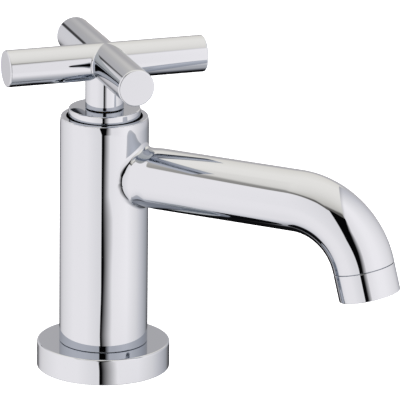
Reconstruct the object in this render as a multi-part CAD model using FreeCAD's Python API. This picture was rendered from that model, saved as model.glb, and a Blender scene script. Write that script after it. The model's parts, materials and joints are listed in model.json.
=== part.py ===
"""Deck-mounted cross handle tap with a ceramic quarter-turn headwork.

Frame: millimetres, +Z up. The origin is the centre of the deck hole on the deck's surface, so the
flange stands on z = 0 and the threaded tail hangs below it. The spout points along -Y and the tap
is symmetric about the plane x = 0. The handle is at rest in the closed position, with its four
arms on the diagonals.
"""
import FreeCAD, Part
import math
import os

Vector = FreeCAD.Vector
UP = Vector(0, 0, 1)
ACROSS = Vector(1, 0, 0)

# ---------------------------------------------------------------- driving dimensions, millimetres
# Pillar and base flange
PILLAR_RADIUS = 18.0
PILLAR_HEIGHT = 95.2            # from the flange's top to the rim
PILLAR_CROWN_HEIGHT = 4.2       # top of the side, buffed in to a gentle crown
PILLAR_CROWN_LEAN = 0.4         # how far the crown comes in at the rim
PILLAR_RIM_ROUND = 0.4          # rounding of the rim's outer edge
RIM_BORE_RADIUS = 15.5          # open top of the pillar, round the cover
RIM_DEPTH = 7.5                 # from the rim down to the headwork's shoulder seat
FLANGE_RADIUS = 27.05
FLANGE_THICKNESS = 10.8
FLANGE_TOP_ROUND = 0.8
FLANGE_FOOT_CHAMFER = 0.3
GASKET_RECESS_DEPTH = 2.5
GASKET_RIM_WIDTH = 2.6          # flange metal outside the gasket
GASKET_HUB_WIDTH = 1.2          # flange metal inside the gasket
FOOT_SPIGOT_RADIUS = 13.5       # pillar's foot inside the flange
FOOT_SPIGOT_LENGTH = 7.8
FOOT_RING_SECTION = 0.7         # O-ring section radius
FOOT_RING_HEIGHT = 4.2          # above the spigot's end

# Waterway in the pillar
CHAMBER_RADIUS = 13.2
SEAT_HOLE_RADIUS = 6.0
SEAT_WEB = 4.0
INLET_RADIUS = 8.0
TAIL_SOCKET_DEPTH = 21.0

# Spout and its outlet
SPOUT_RADIUS = 12.4
SPOUT_WALL = 1.8
SPOUT_BELOW_RIM = 23.15         # spout axis below the rim
SPOUT_STRAIGHT = 86.5           # from the pillar's axis to the start of the bend
SPOUT_BEND_RADIUS = 30.25
SPOUT_BEND_ANGLE = 75.5         # degrees
SPOUT_END_STRAIGHT = 0.7        # from the bend to the collar
SPOUT_ROOT_FILLET = 1.8
SPIGOT_STEP = 0.9               # spigots are this much smaller than the tube
ROOT_SPIGOT_DEPTH = 3.6         # into the pillar's wall
COLLAR_LENGTH = 11.6
COLLAR_SEAM_CHAMFER = 0.25
COLLAR_SPIGOT_LENGTH = 2.1
COLLAR_WEB = 1.0
COLLAR_WALL = 1.65
COLLAR_WEB_BORE = 9.2

# Aerator cartridge inside the collar
AERATOR_RECESS = 0.4            # above the collar's mouth
AERATOR_WALL = 1.2
AERATOR_LEDGE = 0.6
AERATOR_LEDGE_HEIGHT = 0.6
AERATOR_SEAL_HEIGHT = 1.2
AERATOR_KEY_NOTCHES = 8
AERATOR_KEY_WIDTH = 1.6
GRID_HEIGHT = 1.6
GRID_CELL = 2.1                 # across flats
GRID_PITCH = 2.5
GRID_RINGS = 3
JET_CUP_HEIGHT = 3.6
JET_PLATE = 1.2
JET_CUP_WALL = 1.0
JET_HOLE_RADIUS = 0.55
JET_RINGS = ((4.0, 10), (6.6, 16))      # radius of the ring and its number of jets
FILTER_RIM_HEIGHT = 0.6
FILTER_RIM_WIDTH = 0.8
FILTER_DOME_HEIGHT = 2.4
FILTER_SKIN = 0.3

# Headwork: a half-inch quarter-turn valve
HEADWORK_REACH = 34.5           # shoulder seat down to the seat web
HEADWORK_THREAD_RADIUS = 10.4775
HEADWORK_THREAD_LENGTH = 6.5
HEADWORK_FLANGE_RADIUS = 12.6
HEADWORK_FLANGE_HEIGHT = 2.0
HEADWORK_HEX = 22.0             # across flats
HEADWORK_HEX_HEIGHT = 5.0
HEADWORK_SLEEVE_RADIUS = 8.5
HEADWORK_RING_SECTION = 0.88
HEADWORK_RING_STEP = 1.8        # depth and width of the O-ring's step in the pillar
BARREL_RADIUS = 9.4
BARREL_WALL = 1.5
BARREL_OVER_SEAT = 1.0          # barrel's end above the seat web
WINDOW_WIDTH = 9.0
WINDOW_HEIGHT = 6.6
SEAT_SEAL_HEIGHT = 2.0
SEAT_SEAL_BORE = 6.2
DISC_HEIGHT = 3.5
DISC_PORT_INNER = 2.0
DISC_PORT_OUTER = 6.0
DISC_PORT_ANGLE = 76.0          # degrees, leaves a sealing land when closed
DRIVER_SLOT_DEPTH = 1.8
DRIVER_TAB_LENGTH = 11.0
DRIVER_TAB_WIDTH = 3.2
DRIVER_SHAFT_RADIUS = 3.6
DRIVER_SHAFT_HEIGHT = 7.8       # from the moving disc to the thrust flange
THRUST_FLANGE_HEIGHT = 1.5
THRUST_WASHER_HEIGHT = 1.5
STEM_RADIUS = 5.0
STEM_RING_SECTION = 0.55
STEM_RING_GROOVE = 1.5          # width of each groove
STEM_RING_PITCH = 5.0
STEM_RING_FIRST = 4.0           # above the thrust washer
STEM_RINGS = 2
CIRCLIP_HEIGHT = 0.8
CIRCLIP_RADIUS = 6.0
CIRCLIP_GROOVE_DEPTH = 0.9
CIRCLIP_GAP_ANGLE = 70.0        # degrees
SPLINE_TEETH = 20
SPLINE_TIP_RADIUS = 4.0
SPLINE_TOOTH_DEPTH = 0.45

# Cover disc over the headwork
COVER_RADIUS = 14.6
COVER_PROUD = 3.3               # top above the pillar's rim
COVER_TOP_ROUND = 0.5
COVER_WALL = 1.5
COVER_LIP = 1.4                 # plate over the headwork's sleeve
COVER_HOLE_RADIUS = 6.5

# Cross handle
NECK_RADIUS = 7.85
ARM_RADIUS = 7.5
ARM_REACH = 41.6                # from the spindle's axis to the arm's end
ARM_HEIGHT = 19.4               # arm axis above the cover
ARM_END_ROUND = 0.7
ARM_COUNT = 4
BUSH_RADIUS = 5.45
BUSH_LENGTH = 11.5
SPLINE_SHORT_OF_BUSH = 0.9
GRUB_RADIUS = 2.0
GRUB_RECESS = 0.5
GRUB_HEIGHT = 5.2               # above the neck's lower end
GRUB_HEX = 2.0
GRUB_HEX_DEPTH = 1.3

# Threaded tail and deck clamp
TAIL_THREAD_RADIUS = 10.4775    # half-inch pipe thread, major radius
TAIL_BORE_RADIUS = 6.5
TAIL_DROP = 52.0                # below the deck's surface
TAIL_END_CHAMFER = 1.0
TAIL_RING_SECTION = 1.0
TAIL_RING_RADIUS = 8.9
INLET_THREAD_LENGTH = 16.0
RELIEF_WIDTH = 2.0
RELIEF_DEPTH = 1.2
CLAMP_DEPTH = 20.0              # deck thickness that the clamp stands at
CLAMP_WASHER_RADIUS = 17.0
RUBBER_WASHER_HEIGHT = 2.5
STEEL_WASHER_HEIGHT = 1.5
NUT_FLANGE_RADIUS = 16.5
NUT_FLANGE_HEIGHT = 2.5
NUT_HEX = 27.0
NUT_HEX_HEIGHT = 6.5
NUT_CHAMFER = 0.8

# Clearances
SLIP = 0.1                      # radial, parts that slip together by hand
THREAD_PLAY = 0.05              # radial, plain cylinders that stand for mating threads
RUNNING = 0.06                  # radial, spindle in its bearing
FACE_FILM = 0.02                # between faces that turn on each other
HANDLE_GAP = 0.3                # under the handle's neck
END_PLAY = 0.2
RING_RELIEF = 0.02              # O-rings are this much inside their grooves

# ---------------------------------------------------------------------------- derived heights
flange_top = FLANGE_THICKNESS
rim = flange_top + PILLAR_HEIGHT
shoulder = rim - RIM_DEPTH
thread_low = shoulder - HEADWORK_THREAD_LENGTH
seat = shoulder - HEADWORK_REACH
socket_low = flange_top - FOOT_SPIGOT_LENGTH
socket_top = socket_low + TAIL_SOCKET_DEPTH
tail_top = socket_top - 2 * TAIL_RING_SECTION
spout_height = rim - SPOUT_BELOW_RIM
cover_top = rim + COVER_PROUD
sleeve_top = cover_top - COVER_LIP
hex_low = shoulder + HEADWORK_FLANGE_HEIGHT
hex_top = hex_low + HEADWORK_HEX_HEIGHT
neck_low = cover_top + HANDLE_GAP
arm_axis = cover_top + ARM_HEIGHT
bush_low = neck_low + HANDLE_GAP
bush_top = bush_low + BUSH_LENGTH

fixed_disc_low = seat + SEAT_SEAL_HEIGHT
moving_disc_low = fixed_disc_low + DISC_HEIGHT + FACE_FILM
moving_disc_top = moving_disc_low + DISC_HEIGHT
thrust_low = moving_disc_top + DRIVER_SHAFT_HEIGHT
thrust_top = thrust_low + THRUST_FLANGE_HEIGHT
washer_low = thrust_top + FACE_FILM
cavity_top = washer_low + THRUST_WASHER_HEIGHT
cavity_radius = BARREL_RADIUS - BARREL_WALL
disc_radius = cavity_radius - THREAD_PLAY

clamp_top = -CLAMP_DEPTH
steel_top = clamp_top - RUBBER_WASHER_HEIGHT
nut_top = steel_top - STEEL_WASHER_HEIGHT
nut_low = nut_top - NUT_FLANGE_HEIGHT - NUT_HEX_HEIGHT
tail_low = -TAIL_DROP

spout_bore = SPOUT_RADIUS - SPOUT_WALL
spigot_radius = SPOUT_RADIUS - SPIGOT_STEP
bend_angle = math.radians(SPOUT_BEND_ANGLE)
bend_centre = Vector(0, -SPOUT_STRAIGHT, spout_height - SPOUT_BEND_RADIUS)
outlet_way = Vector(0, -math.cos(bend_angle), -math.sin(bend_angle))
bend_end = bend_centre + Vector(0, -math.sin(bend_angle), math.cos(bend_angle)) * SPOUT_BEND_RADIUS
outlet_end = bend_end + outlet_way * (SPOUT_END_STRAIGHT + COLLAR_LENGTH)

collar_bore = SPOUT_RADIUS - COLLAR_WALL
collar_step = COLLAR_LENGTH - COLLAR_SPIGOT_LENGTH - SLIP
aerator_top = collar_step - COLLAR_WEB
aerator_radius = collar_bore - THREAD_PLAY
aerator_bore = aerator_radius - AERATOR_WALL
housing_top = aerator_top - AERATOR_SEAL_HEIGHT
grid_low = AERATOR_RECESS + AERATOR_LEDGE_HEIGHT
grid_top = grid_low + GRID_HEIGHT
cup_top = grid_top + JET_CUP_HEIGHT
insert_radius = aerator_bore - THREAD_PLAY


# -------------------------------------------------------------------------------- shape helpers
def rod(radius, low, high):
    """A solid cylinder about the Z axis, from one height to another."""
    return Part.makeCylinder(radius, high - low, Vector(0, 0, low))


def ring(outer, inner, low, high):
    """A flat ring about the Z axis."""
    return rod(outer, low, high).cut(rod(inner, low, high))


def turned(profile):
    """A solid of revolution about the Z axis from a closed outline of (radius, height) points."""
    points = [Vector(radius, 0, height) for radius, height in profile]
    outline = Part.makePolygon(points + points[:1])
    return Part.Face(outline).revolve(Vector(0, 0, 0), UP, 360)


def o_ring(centre_radius, section, height):
    """A rubber ring of round section lying about the Z axis."""
    return Part.makeTorus(centre_radius, section, Vector(0, 0, height), UP)


def hexagon(across_flats, low, high, centre=Vector(0, 0, 0)):
    """A hexagonal prism along Z, with two corners on the X direction."""
    corner = across_flats / math.sqrt(3)
    points = []
    for step in range(7):
        turn = math.radians(60 * step)
        points.append(centre + Vector(corner * math.cos(turn), corner * math.sin(turn), low))
    return Part.Face(Part.makePolygon(points)).extrude(Vector(0, 0, high - low))


def serrated(tip, depth, teeth, low, high):
    """A straight-sided splined shaft: a star with its tips on one circle and roots on another."""
    points = []
    for step in range(2 * teeth + 1):
        turn = math.pi * step / teeth
        radius = tip if step % 2 == 0 else tip - depth
        points.append(Vector(radius * math.cos(turn), radius * math.sin(turn), low))
    return Part.Face(Part.makePolygon(points)).extrude(Vector(0, 0, high - low))


def sector(inner, outer, low, high, middle, sweep):
    """A kidney port: part of a flat ring, centred on a direction and swept by an angle."""
    corners = [(inner, low), (outer, low), (outer, high), (inner, high), (inner, low)]
    outline = Part.makePolygon([Vector(radius, 0, height) for radius, height in corners])
    piece = Part.Face(outline).revolve(Vector(0, 0, 0), UP, sweep)
    piece.rotate(Vector(0, 0, 0), UP, middle - sweep / 2)
    return piece


def circle_edges(solid, radius, height):
    """The solid's round edges of one radius at one height."""
    found = []
    for edge in solid.Edges:
        curve = edge.Curve
        if isinstance(curve, Part.Circle) and abs(curve.Radius - radius) < 1e-4:
            if abs(curve.Center.z - height) < 1e-4:
                found.append(edge)
    return found


def along_spout(radius, start, end):
    """A solid cylinder along the spout's straight run, between distances from the tap's axis."""
    return Part.makeCylinder(radius, end - start, Vector(0, -start, spout_height), Vector(0, -1, 0))


def at_outlet(solid):
    """Move a piece from the outlet's own frame, mouth at z = 0 and water falling, to its place."""
    placed = solid.copy()
    tilt = FreeCAD.Rotation(ACROSS, SPOUT_BEND_ANGLE - 90)
    placed.Placement = FreeCAD.Placement(outlet_end, tilt).multiply(placed.Placement)
    return placed


# ------------------------------------------------------------------------------- base and pillar
def base_flange():
    """Round base ring: a gasket recess below and a bore for the pillar's foot."""
    bore = FOOT_SPIGOT_RADIUS + SLIP
    blank = turned([
        (bore, 0), (FLANGE_RADIUS - FLANGE_FOOT_CHAMFER, 0), (FLANGE_RADIUS, FLANGE_FOOT_CHAMFER),
        (FLANGE_RADIUS, flange_top), (bore, flange_top)])
    blank = blank.makeFillet(FLANGE_TOP_ROUND, circle_edges(blank, FLANGE_RADIUS, flange_top))
    recess = ring(FLANGE_RADIUS - GASKET_RIM_WIDTH, bore + GASKET_HUB_WIDTH, 0, GASKET_RECESS_DEPTH)
    return blank.cut(recess)


def deck_gasket():
    """Rubber gasket that fills the flange's recess and seals on the deck."""
    outer = FLANGE_RADIUS - GASKET_RIM_WIDTH - SLIP
    inner = FOOT_SPIGOT_RADIUS + SLIP + GASKET_HUB_WIDTH + SLIP
    return ring(outer, inner, 0, GASKET_RECESS_DEPTH)


def foot_ring_centre():
    """Centre radius and height of the O-ring round the pillar's foot."""
    radius = FOOT_SPIGOT_RADIUS + SLIP - RING_RELIEF - FOOT_RING_SECTION
    return radius, socket_low + FOOT_RING_HEIGHT


def foot_o_ring():
    """Rubber ring that seals and steadies the pillar's foot in the flange."""
    radius, height = foot_ring_centre()
    return o_ring(radius, FOOT_RING_SECTION, height)


def pillar_blank():
    """Straight round side with a gentle crown at its top, tangent to the side, and a rounded rim."""
    crown_low = rim - PILLAR_CROWN_HEIGHT
    crown_radius = (PILLAR_CROWN_HEIGHT ** 2 + PILLAR_CROWN_LEAN ** 2) / (2 * PILLAR_CROWN_LEAN)
    half_turn = math.asin(PILLAR_CROWN_HEIGHT / crown_radius) / 2
    crown_centre = Vector(PILLAR_RADIUS - crown_radius, 0, crown_low)
    middle = crown_centre + Vector(math.cos(half_turn), 0, math.sin(half_turn)) * crown_radius
    foot = Vector(PILLAR_RADIUS, 0, flange_top)
    start = Vector(PILLAR_RADIUS, 0, crown_low)
    end = Vector(PILLAR_RADIUS - PILLAR_CROWN_LEAN, 0, rim)
    sides = [
        Part.makeLine(Vector(0, 0, flange_top), foot), Part.makeLine(foot, start),
        Part.Arc(start, middle, end).toShape(), Part.makeLine(end, Vector(0, 0, rim)),
        Part.makeLine(Vector(0, 0, rim), Vector(0, 0, flange_top))]
    blank = Part.Face(Part.Wire(sides)).revolve(Vector(0, 0, 0), UP, 360)
    return blank.makeFillet(PILLAR_RIM_ROUND, circle_edges(blank, end.x, rim))


def body_pillar():
    """Pillar casting: foot spigot, tail socket, inlet way, valve seat, chamber, port and rim."""
    body = pillar_blank().fuse(rod(FOOT_SPIGOT_RADIUS, socket_low, flange_top))
    groove_radius, groove_height = foot_ring_centre()
    groove_half = FOOT_RING_SECTION + RING_RELIEF
    body = body.cut(ring(
        PILLAR_RADIUS, groove_radius - groove_half, groove_height - groove_half,
        groove_height + groove_half))
    body = body.cut(rod(TAIL_THREAD_RADIUS + THREAD_PLAY, socket_low, socket_top))
    body = body.cut(rod(INLET_RADIUS, socket_top, seat - SEAT_WEB))
    body = body.cut(rod(SEAT_HOLE_RADIUS, seat - SEAT_WEB, seat))
    body = body.cut(rod(CHAMBER_RADIUS, seat, thread_low))
    body = body.cut(rod(HEADWORK_THREAD_RADIUS + THREAD_PLAY, thread_low, shoulder))
    step_radius = HEADWORK_THREAD_RADIUS + THREAD_PLAY + HEADWORK_RING_STEP
    body = body.cut(rod(step_radius, shoulder - HEADWORK_RING_STEP, shoulder))
    body = body.cut(rod(RIM_BORE_RADIUS, shoulder, rim))
    port = along_spout(spigot_radius + THREAD_PLAY, 0, PILLAR_RADIUS + SPOUT_RADIUS)
    core = rod(PILLAR_RADIUS - ROOT_SPIGOT_DEPTH - SLIP, socket_low, rim)
    way = along_spout(spout_bore, 0, PILLAR_RADIUS)
    way = way.common(rod(PILLAR_RADIUS, seat, thread_low))
    return body.cut(port.cut(core)).cut(way)


# ------------------------------------------------------------------------------ spout and outlet
def spout_solid(radius, start):
    """The spout's run as a solid: straight from a distance out, the bend, and the end stub."""
    straight = along_spout(radius, start, SPOUT_STRAIGHT)
    circle = Part.makeCircle(radius, Vector(0, -SPOUT_STRAIGHT, spout_height), Vector(0, -1, 0))
    disc = Part.Face(Part.Wire(circle))
    bend = disc.revolve(bend_centre, ACROSS, SPOUT_BEND_ANGLE)
    stub = Part.makeCylinder(radius, SPOUT_END_STRAIGHT, bend_end, outlet_way)
    return straight.fuse([bend, stub]).removeSplitter()


def spout_root():
    """The tube's first stretch with its saddle: a rolling-ball fillet against the pillar."""
    reach = PILLAR_RADIUS + 2 * SPOUT_RADIUS
    margin = 2 * SPOUT_RADIUS
    pillar = rod(PILLAR_RADIUS, spout_height - margin, spout_height + margin)
    joined = pillar.fuse(along_spout(SPOUT_RADIUS, 0, reach)).removeSplitter()
    corner = []
    for edge in joined.Edges:
        middle = edge.valueAt((edge.FirstParameter + edge.LastParameter) / 2)
        from_axis = math.hypot(middle.x, middle.y)
        from_spout = math.hypot(middle.x, middle.z - spout_height)
        if abs(from_axis - PILLAR_RADIUS) < 1e-3 and abs(from_spout - SPOUT_RADIUS) < 1e-3:
            corner.append(edge)
    filleted = joined.makeFillet(SPOUT_ROOT_FILLET, corner)
    return filleted.cut(pillar)


def spout():
    """Bent tube with a saddle at its root, a spigot into the pillar and one into the collar."""
    root = spout_root()
    outer = spout_solid(SPOUT_RADIUS, PILLAR_RADIUS + SPOUT_RADIUS)
    inner_end = PILLAR_RADIUS - ROOT_SPIGOT_DEPTH
    spigot = along_spout(spigot_radius, 0, PILLAR_RADIUS + SPOUT_RADIUS)
    spigot = spigot.cut(rod(inner_end, spout_height - PILLAR_RADIUS, spout_height + PILLAR_RADIUS))
    end_spigot = Part.makeCylinder(
        spigot_radius, SPOUT_END_STRAIGHT + COLLAR_SPIGOT_LENGTH, bend_end, outlet_way)
    body = root.fuse([outer, spigot, end_spigot]).removeSplitter()
    drill = Part.makeCylinder(
        spout_bore, SPOUT_END_STRAIGHT + 2 * COLLAR_SPIGOT_LENGTH, bend_end, outlet_way)
    return body.cut(spout_solid(spout_bore, 0)).cut(drill)


def outlet_collar():
    """Outlet collar: a step for the tube's spigot, a web and the aerator's threaded mouth."""
    body = turned([
        (collar_bore, 0), (SPOUT_RADIUS - COLLAR_SEAM_CHAMFER, 0),
        (SPOUT_RADIUS, COLLAR_SEAM_CHAMFER), (SPOUT_RADIUS, COLLAR_LENGTH - COLLAR_SEAM_CHAMFER),
        (SPOUT_RADIUS - COLLAR_SEAM_CHAMFER, COLLAR_LENGTH),
        (spigot_radius + THREAD_PLAY, COLLAR_LENGTH), (spigot_radius + THREAD_PLAY, collar_step),
        (COLLAR_WEB_BORE, collar_step), (COLLAR_WEB_BORE, aerator_top), (collar_bore, aerator_top)])
    return at_outlet(body)


def aerator_housing():
    """Threaded plastic sleeve with a ledge for the grid and notches for its key."""
    low = AERATOR_RECESS
    body = turned([
        (aerator_bore - AERATOR_LEDGE, low), (aerator_radius, low), (aerator_radius, housing_top),
        (aerator_bore, housing_top), (aerator_bore, grid_low), (aerator_bore - AERATOR_LEDGE, grid_low)])
    notch = Part.makeBox(
        AERATOR_WALL + AERATOR_LEDGE + SLIP, AERATOR_KEY_WIDTH, AERATOR_LEDGE_HEIGHT,
        Vector(aerator_bore, -AERATOR_KEY_WIDTH / 2, low))
    for step in range(AERATOR_KEY_NOTCHES):
        cutter = notch.copy()
        cutter.rotate(Vector(0, 0, 0), UP, 360 * step / AERATOR_KEY_NOTCHES)
        body = body.cut(cutter)
    return at_outlet(body)


def aerator_seal():
    """Flat rubber ring between the aerator's housing and the collar's web."""
    return at_outlet(ring(aerator_radius, aerator_bore, housing_top, aerator_top))


def grid_centres():
    """Cell centres of the honeycomb: a hexagonal patch of rings about the middle."""
    centres = []
    for column in range(-GRID_RINGS, GRID_RINGS + 1):
        for row in range(-GRID_RINGS, GRID_RINGS + 1):
            if abs(column + row) <= GRID_RINGS:
                x = GRID_PITCH * column * math.sqrt(3) / 2
                y = GRID_PITCH * (row + column / 2)
                centres.append(Vector(x, y, 0))
    return centres


def aerator_outlet_grid():
    """Honeycomb disc at the aerator's mouth."""
    body = rod(insert_radius, grid_low, grid_top)
    cells = [hexagon(GRID_CELL, grid_low, grid_top, centre) for centre in grid_centres()]
    return at_outlet(body.cut(Part.makeCompound(cells)))


def aerator_jet_cup():
    """Upturned cup whose plate breaks the water into jets."""
    body = rod(insert_radius, grid_top, cup_top)
    body = body.cut(rod(insert_radius - JET_CUP_WALL, grid_top, cup_top - JET_PLATE))
    holes = []
    for ring_radius, count in JET_RINGS:
        for step in range(count):
            turn = 2 * math.pi * step / count
            spot = Vector(ring_radius * math.cos(turn), ring_radius * math.sin(turn), grid_top)
            holes.append(Part.makeCylinder(JET_HOLE_RADIUS, JET_CUP_HEIGHT, spot))
    return at_outlet(body.cut(Part.makeCompound(holes)))


def dome(base_radius, height, base):
    """A solid spherical cap standing on a level."""
    sphere_radius = (base_radius ** 2 + height ** 2) / (2 * height)
    centre = base + height - sphere_radius
    ball = Part.makeSphere(sphere_radius, Vector(0, 0, centre))
    return ball.common(rod(2 * base_radius, base, base + 2 * height))


def aerator_filter():
    """Domed filter over the jet plate: a thin skin on a flat rim."""
    rim_top = cup_top + FILTER_RIM_HEIGHT
    inner = insert_radius - FILTER_RIM_WIDTH
    skin = dome(inner + FILTER_SKIN, FILTER_DOME_HEIGHT + FILTER_SKIN, rim_top)
    hollow = dome(inner, FILTER_DOME_HEIGHT, rim_top)
    body = rod(insert_radius, cup_top, rim_top).fuse(skin)
    return at_outlet(body.cut(rod(inner, cup_top, rim_top)).cut(hollow).removeSplitter())


# -------------------------------------------------------------------------------------- headwork
def headwork_body():
    """Brass headwork: ported barrel, threaded shoulder, hexagon, cover thread and spindle bore."""
    hexagonal = hexagon(HEADWORK_HEX, hex_low, hex_top)
    body = rod(BARREL_RADIUS, seat + BARREL_OVER_SEAT, thread_low).fuse([
        rod(HEADWORK_THREAD_RADIUS, thread_low, shoulder - HEADWORK_RING_STEP),
        rod(BARREL_RADIUS + 1.0, shoulder - HEADWORK_RING_STEP, shoulder),
        rod(HEADWORK_FLANGE_RADIUS, shoulder, hex_low),
        hexagonal,
        rod(HEADWORK_SLEEVE_RADIUS, hex_top, sleeve_top)])
    body = body.cut(rod(cavity_radius, seat, cavity_top))
    body = body.cut(rod(STEM_RADIUS + RUNNING, cavity_top, sleeve_top))
    window = Part.makeBox(
        3 * BARREL_RADIUS, WINDOW_WIDTH, WINDOW_HEIGHT,
        Vector(-1.5 * BARREL_RADIUS, -WINDOW_WIDTH / 2, moving_disc_top))
    return body.cut(window)


def headwork_o_ring():
    """Rubber ring in the pillar's step, under the headwork's flange."""
    outer = HEADWORK_THREAD_RADIUS + THREAD_PLAY + HEADWORK_RING_STEP
    centre = outer - RING_RELIEF - HEADWORK_RING_SECTION
    return o_ring(centre, HEADWORK_RING_SECTION, shoulder - HEADWORK_RING_STEP / 2)


def seat_seal():
    """Rubber ring that presses the fixed disc's water inlet onto the pillar's seat."""
    return ring(disc_radius, SEAT_SEAL_BORE, seat, fixed_disc_low)


def ceramic_disc(low, port_middle):
    """A ceramic disc with two kidney ports, centred on a direction and its opposite."""
    body = rod(disc_radius, low, low + DISC_HEIGHT)
    for side in (0, 180):
        port = sector(
            DISC_PORT_INNER, DISC_PORT_OUTER, low, low + DISC_HEIGHT, port_middle + side,
            DISC_PORT_ANGLE)
        body = body.cut(port)
    return body


def fixed_ceramic_disc():
    """Lower disc, keyed in the barrel, with its ports to the sides."""
    return ceramic_disc(fixed_disc_low, 0)


def driver_tab(length, width, low, high):
    """The spindle's tab, along X, that turns the moving disc."""
    return Part.makeBox(length, width, high - low, Vector(-length / 2, -width / 2, low))


def moving_ceramic_disc():
    """Upper disc, a quarter turn from the open position, with a slot for the spindle's tab."""
    body = ceramic_disc(moving_disc_low, 90)
    slot = driver_tab(
        DRIVER_TAB_LENGTH + 2 * SLIP, DRIVER_TAB_WIDTH + 2 * SLIP,
        moving_disc_top - DRIVER_SLOT_DEPTH, moving_disc_top)
    return body.cut(slot)


def stem_ring_heights():
    """Heights of the spindle's O-rings."""
    first = cavity_top + STEM_RING_FIRST
    return [first + step * STEM_RING_PITCH for step in range(STEM_RINGS)]


def stem_groove_radius():
    """Radius at the bottom of the spindle's O-ring grooves."""
    return STEM_RADIUS - 2 * STEM_RING_SECTION


def circlip_low():
    """Underside of the spindle's circlip, just over the headwork's sleeve."""
    return sleeve_top + END_PLAY


def valve_spindle():
    """Spindle: driving tab, thrust flange, sealed stem, circlip groove and spline."""
    stem_top = neck_low - END_PLAY
    body = rod(DRIVER_SHAFT_RADIUS, moving_disc_top, thrust_low).fuse([
        driver_tab(DRIVER_TAB_LENGTH, DRIVER_TAB_WIDTH, moving_disc_top - DRIVER_SLOT_DEPTH,
                   moving_disc_top + DRIVER_SLOT_DEPTH),
        rod(cavity_radius - SLIP, thrust_low, thrust_top),
        rod(STEM_RADIUS, thrust_top, stem_top),
        serrated(SPLINE_TIP_RADIUS, SPLINE_TOOTH_DEPTH, SPLINE_TEETH, stem_top,
                 bush_top - SPLINE_SHORT_OF_BUSH)])
    half = STEM_RING_GROOVE / 2
    for height in stem_ring_heights():
        body = body.cut(ring(STEM_RADIUS, stem_groove_radius(), height - half, height + half))
    clip = circlip_low()
    root = STEM_RADIUS - CIRCLIP_GROOVE_DEPTH
    body = body.cut(ring(STEM_RADIUS, root, clip - RING_RELIEF, clip + CIRCLIP_HEIGHT + RING_RELIEF))
    return body


def spindle_thrust_washer():
    """Low-friction washer between the spindle's thrust flange and the barrel's ceiling."""
    return ring(cavity_radius - SLIP, STEM_RADIUS + SLIP, washer_low, cavity_top)


def spindle_o_rings():
    """The two rubber rings in the spindle's grooves."""
    centre = stem_groove_radius() + RING_RELIEF + STEM_RING_SECTION
    rings = [o_ring(centre, STEM_RING_SECTION, height) for height in stem_ring_heights()]
    return Part.makeCompound(rings)


def spindle_circlip():
    """Open spring clip that keeps the spindle in the headwork."""
    inner = STEM_RADIUS - CIRCLIP_GROOVE_DEPTH + RING_RELIEF
    low = circlip_low()
    return sector(
        inner, CIRCLIP_RADIUS, low, low + CIRCLIP_HEIGHT, 90, 360 - CIRCLIP_GAP_ANGLE)


def bonnet_cover():
    """Round cover disc, screwed on the headwork's sleeve inside the pillar's rim."""
    low = hex_low + SLIP
    plate_low = hex_top + SLIP
    blank = rod(COVER_RADIUS, low, cover_top)
    blank = blank.makeFillet(COVER_TOP_ROUND, circle_edges(blank, COVER_RADIUS, cover_top))
    body = blank.cut(rod(COVER_RADIUS - COVER_WALL, low, plate_low))
    body = body.cut(rod(HEADWORK_SLEEVE_RADIUS + THREAD_PLAY, plate_low, sleeve_top))
    return body.cut(rod(COVER_HOLE_RADIUS, sleeve_top, cover_top))


# ---------------------------------------------------------------------------------------- handle
def handle_arm(direction):
    """One round arm from the spindle's axis outwards, with its end edge rounded."""
    arm = Part.makeCylinder(ARM_RADIUS, ARM_REACH, Vector(0, 0, 0), ACROSS)
    end = [edge for edge in arm.Edges
           if isinstance(edge.Curve, Part.Circle) and abs(edge.Curve.Center.x - ARM_REACH) < 1e-4]
    arm = arm.makeFillet(ARM_END_ROUND, end)
    arm.rotate(Vector(0, 0, 0), UP, direction)
    arm.translate(Vector(0, 0, arm_axis))
    return arm


def grub_hole(radius, start, end):
    """A hole for the grub screw, drilled from the back between distances from the axis."""
    height = neck_low + GRUB_HEIGHT
    return Part.makeCylinder(radius, end - start, Vector(0, start, height), Vector(0, 1, 0))


def cross_handle():
    """Cast cross handle: a round neck under four arms on the diagonals."""
    body = rod(NECK_RADIUS, neck_low, arm_axis)
    arms = [handle_arm(45 + 360 * step / ARM_COUNT) for step in range(ARM_COUNT)]
    body = body.fuse(arms).removeSplitter()
    body = body.cut(rod(BUSH_RADIUS + THREAD_PLAY, neck_low, bush_top))
    return body.cut(grub_hole(GRUB_RADIUS + THREAD_PLAY, 0, NECK_RADIUS + SLIP))


def spline_bush():
    """Splined brass bush, pressed in the neck, that grips the spindle."""
    tip = SPLINE_TIP_RADIUS + THREAD_PLAY
    body = rod(BUSH_RADIUS, bush_low, bush_top)
    body = body.cut(serrated(tip, SPLINE_TOOTH_DEPTH, SPLINE_TEETH, bush_low, bush_top))
    return body.cut(grub_hole(GRUB_RADIUS + THREAD_PLAY, 0, NECK_RADIUS))


def handle_grub_screw():
    """Grub screw at the back of the neck, with a hexagon socket."""
    inner = SPLINE_TIP_RADIUS + THREAD_PLAY
    outer = NECK_RADIUS - GRUB_RECESS
    body = grub_hole(GRUB_RADIUS, inner, outer)
    socket = hexagon(GRUB_HEX, 0, GRUB_HEX_DEPTH)
    socket.rotate(Vector(0, 0, 0), ACROSS, -90)
    socket.translate(Vector(0, outer - GRUB_HEX_DEPTH, neck_low + GRUB_HEIGHT))
    return body.cut(socket)


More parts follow.
